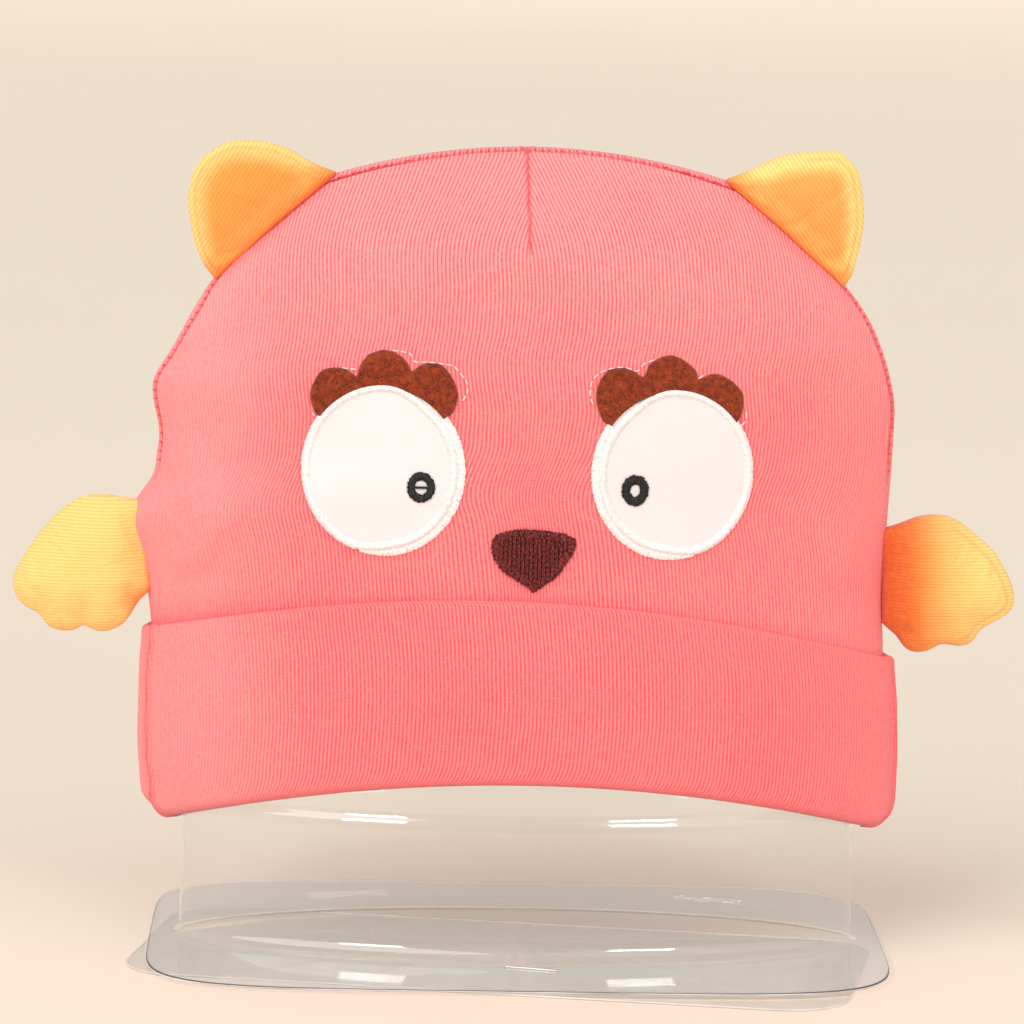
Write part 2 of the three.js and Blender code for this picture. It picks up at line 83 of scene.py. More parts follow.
# Studio: a wide round floor whose edge curves up into a low wall, under an even pale sky. A broad
# soft light comes from the front on the left, a weaker one from the right, and two small boxes
# put white glints on the clear stand.
def add(tree, kind, *inputs, **settings):
    made = tree.nodes.new(kind)
    for name, value in settings.items():
        setattr(made, name, value)
    for n, value in enumerate(inputs):
        if isinstance(value, bpy.types.NodeSocket):
            tree.links.new(value, made.inputs[n])
        elif value is not None:
            made.inputs[n].default_value = value
    return made


def maths(tree, operation, *inputs, clamp=False):
    return add(tree, "ShaderNodeMath", *inputs, operation=operation, use_clamp=clamp).outputs[0]


def mix_colours(tree, share, first, second, blend_type="MIX"):
    mixed = add(tree, "ShaderNodeMix", share, data_type="RGBA", blend_type=blend_type)
    for socket, colour in ((mixed.inputs[6], first), (mixed.inputs[7], second)):
        if isinstance(colour, bpy.types.NodeSocket):
            tree.links.new(colour, socket)
        else:
            socket.default_value = colour
    return mixed.outputs[2]


def new_material(name, roughness, **sockets):
    material = bpy.data.materials.new(name)
    material.use_nodes = True
    shader = material.node_tree.nodes["Principled BSDF"]
    shader.inputs["Roughness"].default_value = roughness
    for socket, value in sockets.items():
        shader.inputs[socket.replace("_", " ")].default_value = value
    return material, material.node_tree, shader


def new_object(name, shape):
    mesh = bpy.data.meshes.new(name)
    shape.to_mesh(mesh)
    shape.free()
    mesh.polygons.foreach_set("use_smooth", [True] * len(mesh.polygons))
    made = bpy.data.objects.new(name, mesh)
    scene.collection.objects.link(made)
    return made


def spin_profile(shape, places, steps):
    """The places, as (across, up), joined into a line and spun once round the upright axis."""
    verts = [shape.verts.new((across, 0, up)) for across, up in places]
    edges = [shape.edges.new(pair) for pair in zip(verts, verts[1:])]
    bmesh.ops.spin(
        shape, geom=verts + edges, cent=(0, 0, 0), axis=(0, 0, 1), angle=2 * math.pi,
        steps=steps, use_merge=True,
    )
    bmesh.ops.remove_doubles(shape, verts=shape.verts, dist=1e-6)


floor_reach = 5.0
wall_bend = 1.0
floor_places = [(floor_reach * n / 8, 0) for n in range(9)]
for n in range(1, 9):
    turn = math.radians(90 * n / 8)
    floor_places.append((floor_reach + wall_bend * math.sin(turn), wall_bend * (1 - math.cos(turn))))
floor_shape = bmesh.new()
spin_profile(floor_shape, floor_places, 96)
bmesh.ops.recalc_face_normals(floor_shape, faces=floor_shape.faces)
floor = new_object("floor", floor_shape)
floor_material, floor_tree, floor_shader = new_material("pale_floor", 0.75, Specular_IOR_Level=0.2)
floor_place = add(floor_tree, "ShaderNodeTexCoord").outputs["Object"]
floor_cloud = add(floor_tree, "ShaderNodeTexNoise", floor_place, None, 1.5, 3.0).outputs[0]
floor_tree.links.new(
    mix_colours(floor_tree, floor_cloud, (0.92, 0.805, 0.67, 1), (0.95, 0.835, 0.70, 1)),
    floor_shader.inputs["Base Color"],
)
floor.data.materials.append(floor_material)

world = bpy.data.worlds.new("studio")
world.use_nodes = True
world.node_tree.nodes["Background"].inputs["Color"].default_value = (1.0, 0.98, 0.96, 1)
world.node_tree.nodes["Background"].inputs["Strength"].default_value = 0.5
scene.world = world
scene.view_settings.view_transform = "Standard"


def new_light(name, kind, place, energy, **settings):
    light = bpy.data.lights.new(name, kind)
    light.energy = energy
    for setting, value in settings.items():
        setattr(light, setting, value)
    lamp = bpy.data.objects.new(name, light)
    lamp.location = place
    lamp.rotation_euler = (Vector((0, 0, 0.1)) - Vector(place)).to_track_quat("-Z", "Y").to_euler()
    lamp.visible_camera = False
    scene.collection.objects.link(lamp)


new_light("key_light", "SUN", (-1.3, -1.5, 2.2), 1.3, angle=math.radians(50))
new_light("fill_light", "SUN", (1.6, -1.5, 1.9), 0.46, angle=math.radians(60))
new_light("left_glint", "AREA", (-0.75, -1.6, 0.8), 6, shape="RECTANGLE", size=0.4, size_y=0.3)
new_light("right_glint", "AREA", (0.72, -1.62, 0.8), 6, shape="RECTANGLE", size=0.4, size_y=0.3)


# Display stand: one clear sheet of plastic, vacuum formed into a flat foot and a tall hollow
# form that carries the hat. Under the foot lies a thin flat sheet, held by a wire staple.
stand_low, stand_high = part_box("display_stand")
foot_half_width = stand_high.x
foot_half_depth = stand_high.y
form_half_width = 86 * MM
form_front = 30.6 * MM
form_back = 25.6 * MM
stand_wall = 0.35 * MM
stand_base = stand_low.z + stand_wall
plan_bow = 1.25
# height as a share of the form's, foot 1 on the foot's edge and 0 on the wall, size as a share
# of the form's plan, and how square the plan's ends are
stand_rows = (
    (0.0000, 1.00, 1.00, 0.36),
    (0.0000, 0.97, 1.00, 0.37),
    (0.0000, 0.75, 1.00, 0.47),
    (0.0000, 0.50, 1.00, 0.60),
    (0.0000, 0.18, 1.00, 0.88),
    (0.0008, 0.12, 1.00, 0.92),
    (0.0050, 0.05, 1.00, 0.97),
    (0.0120, 0.015, 1.00, 1.00),
    (0.0240, 0.00, 1.00, 1.00),
    (0.1000, 0.00, 0.995, 1.00),
    (0.1700, 0.00, 0.990, 1.00),
    (0.1760, 0.00, 0.980, 1.00),
    (0.1840, 0.00, 0.956, 1.00),
    (0.1900, 0.00, 0.950, 1.00),
    (0.3000, 0.00, 0.980, 1.00),
    (0.4800, 0.00, 0.985, 1.00),
    (0.6200, 0.00, 0.965, 1.00),
    (0.7200, 0.00, 0.920, 1.00),
    (0.8000, 0.00, 0.845, 1.00),
    (0.8700, 0.00, 0.730, 1.00),
    (0.9300, 0.00, 0.560, 1.00),
    (0.9700, 0.00, 0.380, 1.00),
    (0.9930, 0.00, 0.170, 1.00),
    (1.0000, 0.00, 0.000, 1.00),
)
stand_around = 160


def blend(low, high, share):
    return low + (high - low) * share


def stand_point(row, turn):
    rise, foot, size, ends = row
    cos = math.cos(turn)
    sin = math.sin(turn)
    bow = blend(plan_bow, ends, min(1, 2 * foot))
    half = blend(form_half_width * size ** 0.8, foot_half_width, foot)
    depth = blend((form_front if sin < 0 else form_back) * size, foot_half_depth, foot)
    return Vector((
        math.copysign(abs(cos) ** ends, cos) * half,
        math.copysign(abs(sin) ** bow, sin) * depth,
        stand_base + rise * (stand_high.z - stand_base),
    ))


def wrapped_grid(columns, rows, *masks):
    """A grid whose vertices come as (vertex, share round, share up), with named masks on them."""
    shape = bmesh.new()
    for mask in masks:
        shape.verts.layers.float.new(mask)
    bmesh.ops.create_grid(shape, x_segments=columns, y_segments=rows, size=1)
    return shape, [(v, (v.co.x + 1) / 2, (v.co.y + 1) / 2) for v in shape.verts]


stand_shape, stand_verts = wrapped_grid(stand_around, len(stand_rows) - 1)
for vert, around, up in stand_verts:
    row = stand_rows[round(up * (len(stand_rows) - 1))]
    vert.co = stand_point(row, around * 2 * math.pi)
bmesh.ops.remove_doubles(stand_shape, verts=stand_shape.verts, dist=0.01 * MM)
bmesh.ops.recalc_face_normals(stand_shape, faces=stand_shape.faces)
stand = new_object("stand_form", stand_shape)
stand_skin = stand.modifiers.new("wall", "SOLIDIFY")
stand_skin.thickness = stand_wall
stand_skin.offset = -1
stand_smooth = stand.modifiers.new("smooth", "SUBSURF")
stand_smooth.levels = stand_smooth.render_levels = 1

plastic, plastic_tree, plastic_shader = new_material(
    "clear_plastic", 0.03, Transmission_Weight=1.0, IOR=1.46, Base_Color=(0.98, 0.985, 0.985, 1)
)
plastic_path = add(plastic_tree, "ShaderNodeLightPath").outputs
plastic_soft = maths(plastic_tree, "MAXIMUM", plastic_path["Is Shadow Ray"], plastic_path["Is Diffuse Ray"])
plastic_tree.links.new(
    maths(plastic_tree, "MULTIPLY_ADD", plastic_soft, -0.97, 1.0), plastic_shader.inputs["Alpha"]
)
plastic_place = add(plastic_tree, "ShaderNodeTexCoord").outputs["Object"]
plastic_wave = add(plastic_tree, "ShaderNodeTexNoise", plastic_place, None, 22.0, 2.0).outputs[0]
plastic_bump = add(plastic_tree, "ShaderNodeBump", 0.12, 1.0 * MM)
plastic_tree.links.new(plastic_wave, plastic_bump.inputs["Height"])
plastic_tree.links.new(plastic_bump.outputs[0], plastic_shader.inputs["Normal"])
stand.data.materials.append(plastic)
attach(stand, "root")
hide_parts("display_stand")

sheet_turn = math.radians(-10.5)
sheet_half_width = 90.5 * MM
sheet_front = -62.9 * MM
sheet_depth = 80 * MM
sheet_corner = 16 * MM
sheet_wall = 0.4 * MM
sheet_shape = bmesh.new()
bmesh.ops.create_grid(sheet_shape, x_segments=1, y_segments=1, size=1)
for vert in sheet_shape.verts:
    vert.co = Vector((
        vert.co.x * sheet_half_width, sheet_front + (vert.co.y + 1) / 2 * sheet_depth, 0
    ))
bmesh.ops.bevel(
    sheet_shape, geom=sheet_shape.verts, offset=sheet_corner, segments=8, profile=0.5,
    affect="VERTICES", material=-1,
)
bmesh.ops.solidify(sheet_shape, geom=sheet_shape.faces, thickness=sheet_wall)
bmesh.ops.recalc_face_normals(sheet_shape, faces=sheet_shape.faces)
bmesh.ops.rotate(sheet_shape, verts=sheet_shape.verts, matrix=Matrix.Rotation(sheet_turn, 3, "Z"))
lowest = min(v.co.z for v in sheet_shape.verts)
bmesh.ops.translate(sheet_shape, verts=sheet_shape.verts, vec=(0, 0, -lowest))
base_film = new_object("base_film", sheet_shape)
base_film.data.polygons.foreach_set("use_smooth", [False] * len(base_film.data.polygons))
base_film.data.materials.append(plastic)
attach(base_film, "root")
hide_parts("base_sheet")


def lay_strands(name, runs, radius, material):
    """Round strands, one for each run of places, as a mesh."""
    curve = bpy.data.curves.new(name, "CURVE")
    curve.dimensions = "3D"
    curve.bevel_depth = radius
    curve.bevel_resolution = 1
    curve.use_fill_caps = True
    for run in runs:
        spline = curve.splines.new("POLY")
        spline.points.add(len(run) - 1)
        for point, place in zip(spline.points, run):
            point.co = (*place, 1)
    drawn = bpy.data.objects.new(name + "_line", curve)
    scene.collection.objects.link(drawn)
    mesh = bpy.data.meshes.new_from_object(drawn.evaluated_get(bpy.context.evaluated_depsgraph_get()))
    bpy.data.objects.remove(drawn)
    mesh.name = name
    mesh.polygons.foreach_set("use_smooth", [True] * len(mesh.polygons))
    mesh.materials.clear()
    mesh.materials.append(material)
    strands = bpy.data.objects.new(name, mesh)
    scene.collection.objects.link(strands)
    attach(strands, "root")
    return strands


staple_ends = ((-3.5 * MM, -37.2 * MM), (9.4 * MM, -40.8 * MM))
staple_top = stand_base + 0.25 * MM
staple_run = [(*staple_ends[0], 0.2 * MM), (*staple_ends[0], staple_top - 0.15 * MM)]
for share in (0.03, 0.5, 0.97):
    staple_run.append((
        blend(staple_ends[0][0], staple_ends[1][0], share),
        blend(staple_ends[0][1], staple_ends[1][1], share),
        staple_top,
    ))
staple_run += [(*staple_ends[1], staple_top - 0.15 * MM), (*staple_ends[1], 0.2 * MM)]
steel, steel_tree, steel_shader = new_material(
    "staple_wire", 0.3, Metallic=1.0, Base_Color=(0.62, 0.60, 0.57, 1)
)
steel_place = add(steel_tree, "ShaderNodeTexCoord").outputs["Object"]
steel_wear = add(steel_tree, "ShaderNodeTexNoise", steel_place, None, 900.0, 3.0).outputs[0]
steel_tree.links.new(
    maths(steel_tree, "MULTIPLY_ADD", steel_wear, 0.3, 0.15), steel_shader.inputs["Roughness"]
)
lay_strands("base_staple", [staple_run], 0.3 * MM, steel)

# Pale strands along the rims of the stand's foot and of the sheet under it are a painted highlight. They stand in
# for the light that the clear plastic's edges catch, and a noise in their alpha breaks them into patches.
highlight_plastic, trim_tree, trim_shader = new_material(
    "painted_rim_highlight", 0.25, Base_Color=(0.95, 0.93, 0.90, 1), Alpha=0.55
)
trim_place = add(trim_tree, "ShaderNodeTexCoord").outputs["Object"]
highlight_breaks = add(trim_tree, "ShaderNodeTexNoise", trim_place, None, 60.0, 3.0).outputs[0]
trim_tree.links.new(
    maths(trim_tree, "MULTIPLY_ADD", highlight_breaks, 0.9, 0.0, clamp=True), trim_shader.inputs["Alpha"]
)
rim_row = stand_rows[0]
stand_rim = [stand_point(rim_row, 2 * math.pi * n / 240) for n in range(241)]
sheet_rim = []
for corner_x, corner_y, start in ((1, 0, -90), (1, 1, 0), (-1, 1, 90), (-1, 0, 180)):
    middle_x = corner_x * (sheet_half_width - sheet_corner)
    middle_y = sheet_front + sheet_depth * corner_y + sheet_corner * (1 - 2 * corner_y)
    for step in range(9):
        turn = math.radians(start + 90 * step / 8)
        place = Vector((
            middle_x + sheet_corner * math.cos(turn), middle_y + sheet_corner * math.sin(turn),
            sheet_wall,
        ))
        place.rotate(Matrix.Rotation(sheet_turn, 3, "Z"))
        sheet_rim.append(place)
sheet_rim.append(sheet_rim[0])
rim_highlights = lay_strands("stand_rim_highlight_beads", [stand_rim, sheet_rim], 0.22 * MM, highlight_plastic)

# Crown: two panels of fine single knit in coral cotton, sewn together right side in round the
# sides and over the top, and turned, so the back panel rolls a little over to the front. A short
# dart in the middle of the front takes in fullness.
crown_low, crown_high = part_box("crown_front")
hat_half = 93 * MM
hat_base = crown_low.z
seam_height = 160.9 * MM
front_depth = 33 * MM
back_depth = 28 * MM
hem_arch = 15.4 * MM
belly_power = 0.65
top_round = 2.2
straight_share = 0.4
cloth_wall = 1.3 * MM
wale_pitch = 1.0 * MM
course_pitch = 0.85 * MM
# height as a share of the seam's, half widths left and right as shares of hat_half, and the
# rise midway between the seams as a share of hem_arch
seam_rows = (
    (0.000, 1.000, 1.000, 1.00),
    (0.268, 1.005, 0.990, 1.00),
    (0.349, 1.020, 0.981, 0.93),
    (0.451, 1.061, 0.989, 0.82),
    (0.498, 1.035, 0.993, 0.78),
    (0.560, 0.998, 0.999, 0.72),
    (0.659, 1.010, 1.002, 0.62),
    (0.722, 0.963, 0.976, 0.57),
    (0.784, 0.908, 0.933, 0.53),
    (0.837, 0.854, 0.867, 0.50),
    (0.919, 0.700, 0.707, 0.50),
    (0.970, 0.602, 0.606, 0.51),
    (1.000, 0.545, 0.545, 0.52),
)
# small swells and hollows of the left edge: height in mm, how far out in mm, and length in mm
left_edge_swells = ((143.5, 1.2, 5), (130.0, -0.9, 5), (118.5, -1.0, 4), (107.0, 2.0, 7))


def seam_row(height):
    n = 1
    while n < len(seam_rows) - 1 and seam_rows[n][0] < height:
        n += 1
    low, high = seam_rows[n - 1], seam_rows[n]
    share = min(max((height - low[0]) / (high[0] - low[0]), 0), 1)
    return [blend(a, b, share) for a, b in zip(low[1:], high[1:])]


def soft_seam_row(height):
    steps = (-0.02, -0.01, 0, 0.01, 0.02)
    near = min(height, 1 - height)
    reach = min(1, max(near, 0) / steps[-1])
    rows = [seam_row(height + step * reach) for step in steps]
    left, right, arch = [sum(column) / len(steps) for column in zip(*rows)]
    z = (hat_base + height * seam_height) / MM
    for place, out, length in left_edge_swells:
        left += out * MM / hat_half * math.exp(-(((z - place) / length) ** 2))
    return left, right, arch


def ramp(value, start, end):
    share = min(max((value - start) / (end - start), 0), 1)
    return share * share * (3 - 2 * share)


def hump(value, middle, width):
    return math.exp(-(((value - middle) / width) ** 2))


# Soft folds of the front: x and z in mm, slope from upright, height, width and length in mm
front_folds = (
    ((-82, 101.5), 35, 2.3, 5.3, 16.5),
    ((-86, 124.0), -25, 1.7, 4.6, 13.2),
    ((82, 98.3), -20, 1.7, 5.0, 16.5),
    ((-88, 86.0), 60, -2.2, 4.5, 9.0),
    ((-91, 90.0), 62, -1.3, 1.6, 7.0),
    ((-90, 85.5), 70, -1.2, 1.4, 6.0),
    ((60, 150.0), 30, 0.6, 9.0, 26.0),
    ((-58, 152.0), -35, 0.6, 9.0, 26.0),
)


def fold_height(x, z):
    total = 0
    for (fold_x, fold_z), slope, height, width, length in front_folds:
        turn = math.radians(slope)
        dx, dz = x - fold_x * MM, z - fold_z * MM
        along = (dx * math.sin(turn) + dz * math.cos(turn)) / (length * MM)
        aside = (dx * math.cos(turn) - dz * math.sin(turn)) / (width * MM)
        total += height * MM * math.exp(-along * along - aside * aside)
    return total


def crown_relief(x, z, side):
    swell = noise.noise(Vector((x / 0.045, z / 0.05, 2.0 + side))) * 0.6 * MM
    swell += noise.noise(Vector((x / 0.016, z / 0.02, 7.0 + side))) * 0.15 * MM
    if side < 0:
        swell += fold_height(x, z) * max(ramp(z, 0.09, 0.1), 0.3)
    return swell


def crown_point(across, height, side):
    left, right, arch = soft_seam_row(height)
    middle = (right - left) / 2 * hat_half
    half = (right + left) / 2 * hat_half
    rest = 1 - across * across
    x = middle + across * half
    z = hat_base + height * seam_height + arch * hem_arch * rest
    above_straight = max(0, (height - straight_share) / (1 - straight_share))
    deep = math.sqrt(max(0, 1 - above_straight**top_round))
    belly = max(0, rest) ** belly_power
    depth = front_depth if side < 0 else back_depth
    y = depth * deep * belly + crown_relief(x, z, side) * min(1, 3 * belly) * deep
    return Vector((x, side * max(0, y), z))


def lay_lengths(grid):
    """The grid's lines and columns of vertices, and lengths along the cloth to each vertex:
    from a line's start, middle and end and from a column's foot and top."""
    columns = {}
    lines = {}
    for vert, across, up in grid:
        columns.setdefault(round(across, 6), []).append((up, vert))
        lines.setdefault(round(up, 6), []).append((across, vert))
    lengths = {}
    line_verts = []
    for key in sorted(lines):
        line = [vert for _, vert in sorted(lines[key], key=lambda item: item[0])]
        line_verts.append(line)
        run = [0.0]
        for before, after in zip(line, line[1:]):
            run.append(run[-1] + (after.co - before.co).length)
        for vert, length in zip(line, run):
            lengths[vert] = [length, length - run[len(run) // 2], run[-1] - length, 0.0, 0.0]
    column_verts = []
    for key in sorted(columns):
        column = [vert for _, vert in sorted(columns[key], key=lambda item: item[0])]
        column_verts.append(column)
        run = [0.0]
        for before, after in zip(column, column[1:]):
            run.append(run[-1] + (after.co - before.co).length)
        for vert, length in zip(column, run):
            lengths[vert][3:] = [length, run[-1] - length]
    return line_verts, column_verts, lengths


# how far in from the silhouette the seam runs, measured along the cloth
seam_in_left = 3.2 * MM
seam_in_right = 2.6 * MM
seam_in_top = 4.2 * MM
seam_groove = 0.55 * MM
seam_lip = 0.3 * MM


def seam_relief(distance):
    """Height of the cloth beside a sewn seam: a groove with a soft lip on each side."""
    lip = hump(abs(distance), 1.3 * MM, 0.7 * MM)
    return seam_lip * lip - seam_groove * hump(distance, 0, 0.55 * MM)


def stitches_across(lines, distance, pitch, reach):
    """Short threads that cross a seam, one where each line of the cloth's grid meets it."""
    runs = []
    for line in lines:
        for n in range(1, len(line)):
            if (distance[line[n - 1]] < 0) == (distance[line[n]] < 0):
                continue
            if any((line[n].co - run[0]).length < pitch for run in runs[-4:]):
                continue
            first, last = n - 1, n
            while first > 0 and abs(distance[line[first]]) < reach:
                first -= 1
            while last < len(line) - 1 and abs(distance[line[last]]) < reach:
                last += 1
            runs.append([line[n].co.copy(), line[first].co.copy(), line[last].co.copy()])
    return [
        [start, (start + end) / 2 - (start + end - 2 * bottom).normalized() * 0.1 * MM, end]
        for bottom, start, end in runs
    ]


dart_foot = Vector((-0.2, 0, 176.9)) * MM
dart_top = Vector((-1.2, 0, 203.5)) * MM
dart_width = 0.6 * MM
dart_depth = 0.5 * MM
dart_lean = 0.5
panel_columns = 240
panel_rows = 160
row_crowding = 1.5


def dart_x(z):
    line = blend(dart_foot.x, dart_top.x, (z - dart_foot.z) / (dart_top.z - dart_foot.z))
    return line + noise.noise(Vector((0, 0, z / 0.004))) * 0.35 * MM


def wale_lean(across, z):
    """How far a wale has moved towards the dart at a height, over its place below the dart."""
    over = max(0, z - dart_foot.z + 2 * MM)
    bend = 12 * MM
    lean = dart_lean * (over * over / (2 * bend) if over < bend else over - bend / 2)
    return lean * (1 - 0.3 * min(1, across / 0.06))


def nose_gather(x, z):
    """How much the wales crowd together above and below the nose."""
    gap = max(z - 0.112, 0.095 - z, 0)
    return 0.3 * hump(gap, 0, 0.022) * hump(x, 0.0015, 0.013)


cuff_low, cuff_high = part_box("cuff")
cuff_height = 46.4 * MM
cuff_tilt = 2.6 * MM


def cuff_top_edge(x):
    across = x / hat_half
    return cuff_low.z + cuff_height - across * cuff_tilt + hem_arch * (1 - across * across)


def crown_painted_light(x, z):
    """Painted light and shade of the crown's cloth: palest towards the top and paler on both sides, most on the
    left, where the light falls; fullest between the eyes.
    """
    return 0.25 + 0.6 * ramp(z, 0.13, 0.2) + 0.35 * ramp(-x, 0.05, 0.08) + 0.12 * ramp(x, 0.05, 0.08)


def make_panel(name, side):
    shape, grid = wrapped_grid(panel_columns, panel_rows, "seam_shade", "painted_light")
    crowded = []
    for vert, around, up in grid:
        across = 2 * around - 1
        across *= 0.45 + 0.55 * abs(across)
        crowded.append((vert, across, 1 - (1 - up) ** row_crowding))
    for vert, across, up in crowded:
        vert.co = crown_point(math.sin(across * math.pi / 2), up, side)
    if side > 0:
        bmesh.ops.reverse_faces(shape, faces=shape.faces)
    shape.normal_update()
    lines, columns, lengths = lay_lengths(crowded)
    distance = {}
    shade = shape.verts.layers.float["seam_shade"]
    painted_light = shape.verts.layers.float["painted_light"]
    flat_places = {vert: vert.co.copy() for vert in shape.verts}
    for vert in shape.verts:
        left, _, right, _, top = lengths[vert]
        x, _, z = vert.co
        # painted light and shade of the cloth
        vert[painted_light] = crown_painted_light(x, z)
        distance[vert] = 1.0
        dark = 0.0
        if side < 0:
            wobble = noise.noise(Vector((x / 0.02, z / 0.011, 4.0))) * 1.1 * MM
            distance[vert] = min(
                left - seam_in_left + wobble, right - seam_in_right + wobble * 0.5,
                top - seam_in_top + wobble * 0.5,
            )
            sewn = ramp(z, 0.112, 0.13)
            sunk = seam_relief(distance[vert]) * sewn
            # Painted shade in the seam's groove, on the crown under the ears' roots, and in a pocket above the
            # cuff's left end.
            dark = 0.8 * hump(distance[vert], 0, 0.6 * MM) * sewn
            ear_shadow = ramp(z, 0.162, 0.172) * ramp(abs(x), 0.046, 0.054)
            dark += (0.55 if x < 0 else 0.4) * ear_shadow * ramp(min(left, right), 12 * MM, 1 * MM) ** 2
            cuff_shadow = hump(z - cuff_top_edge(x), 0, 5 * MM) * ramp(-x, 0.05, 0.08)
            dark += 0.35 * cuff_shadow
            if z > dart_foot.z - 1 * MM:
                aside = x - dart_x(z)
                fade = ramp(z, dart_foot.z - 1 * MM, dart_foot.z + 3 * MM)
                sunk -= dart_depth * hump(aside, 0, dart_width) * fade
                sunk += 0.2 * MM * hump(abs(aside), 1.3 * MM, 0.8 * MM) * fade
                # Painted shade along the dart's groove.
                dark += 0.9 * hump(aside, 0, 0.4 * MM) * fade
            vert.co = vert.co + vert.normal * sunk
        vert[shade] = min(dark, 1)
    uv = shape.loops.layers.uv.new("knit")
    for face in shape.faces:
        middle = face.calc_center_median()
        right_of_dart = middle.x > dart_x(middle.z)
        beyond_seam = sum(distance[v] for v in face.verts) < 0
        for loop in face.loops:
            _, across, _, up, _ = lengths[loop.vert]
            x, _, z = flat_places[loop.vert]
            if side < 0:
                lean = wale_lean(abs(x - dart_foot.x), z)
                across += lean if right_of_dart else -lean
                across += (x - 0.0015) * nose_gather(x, z)
                if beyond_seam:
                    across += 0.4 * wale_pitch
            loop[uv].uv = (across, up)
    stitches = []
    if side < 0:
        upper = [line for line in lines if line[0].co.z > 0.122]
        stitches = stitches_across(upper, distance, 1.5 * MM, 0.7 * MM)
        upper = [column for column in columns if abs(column[-1].co.x) < 0.05]
        stitches += stitches_across(upper, distance, 1.5 * MM, 0.7 * MM)
    panel = new_object(name, shape)
    wall = panel.modifiers.new("cloth", "SOLIDIFY")
    wall.thickness = cloth_wall
    wall.offset = -1
    return panel, stitches


def knit_group():
    """Loops of plain knit. Place is along and across the cloth, in metres."""
    group = bpy.data.node_groups.new("knit_loops", "ShaderNodeTree")
    for name, kind in (("Place", "Vector"), ("Wale", "Float"), ("Course", "Float")):
        group.interface.new_socket(name, in_out="INPUT", socket_type="NodeSocket" + kind)
    for name in ("Height", "Groove Shade", "Fibre"):
        group.interface.new_socket(name, in_out="OUTPUT", socket_type="NodeSocketFloat")
    given = add(group, "NodeGroupInput").outputs
    result = add(group, "NodeGroupOutput")
    wander = add(group, "ShaderNodeTexNoise", given["Place"], None, 70.0, 4.0).outputs[0]
    fibre = add(group, "ShaderNodeTexNoise", given["Place"], None, 2600.0, 3.0).outputs[0]
    split = add(group, "ShaderNodeSeparateXYZ", given["Place"]).outputs
    shift = maths(group, "MULTIPLY_ADD", wander, 0.8, -0.4)
    u = maths(group, "ADD", maths(group, "DIVIDE", split[0], given["Wale"]), shift)
    v = maths(group, "ADD", maths(group, "DIVIDE", split[1], given["Course"]), shift)
    near = maths(group, "PINGPONG", u, 0.5)
    slant = maths(group, "MULTIPLY_ADD", near, 0.9, v)
    loop = maths(group, "COSINE", maths(group, "MULTIPLY", slant, 2 * math.pi))
    loop = maths(group, "MULTIPLY_ADD", loop, 0.22, 0.78)
    legs = maths(group, "SINE", maths(group, "MULTIPLY", near, 2 * math.pi))
    height = maths(group, "MULTIPLY_ADD", near, 1.1, maths(group, "MULTIPLY", legs, loop))
    height = maths(group, "MULTIPLY_ADD", fibre, 0.4, height)
    cell = add(
        group, "ShaderNodeCombineXYZ",
        maths(group, "ROUND", u), maths(group, "FLOOR", v), 0.0,
    ).outputs[0]
    luck = add(group, "ShaderNodeTexWhiteNoise", cell, noise_dimensions="2D").outputs["Value"]
    dash = maths(group, "COSINE", maths(group, "MULTIPLY", v, 2 * math.pi))
    dash = maths(group, "MULTIPLY_ADD", dash, 0.16, 0.6)
    dash = maths(group, "MULTIPLY_ADD", luck, 0.5, dash)
    # Painted shade in the grooves between the wales, broken into dashes.
    groove = maths(group, "MULTIPLY_ADD", near, -3.6, 1.1, clamp=True)
    groove = maths(group, "MULTIPLY", groove, dash)
    group.links.new(height, result.inputs["Height"])
    group.links.new(groove, result.inputs["Groove Shade"])
    group.links.new(fibre, result.inputs["Fibre"])
    return group


knit_loops = knit_group()


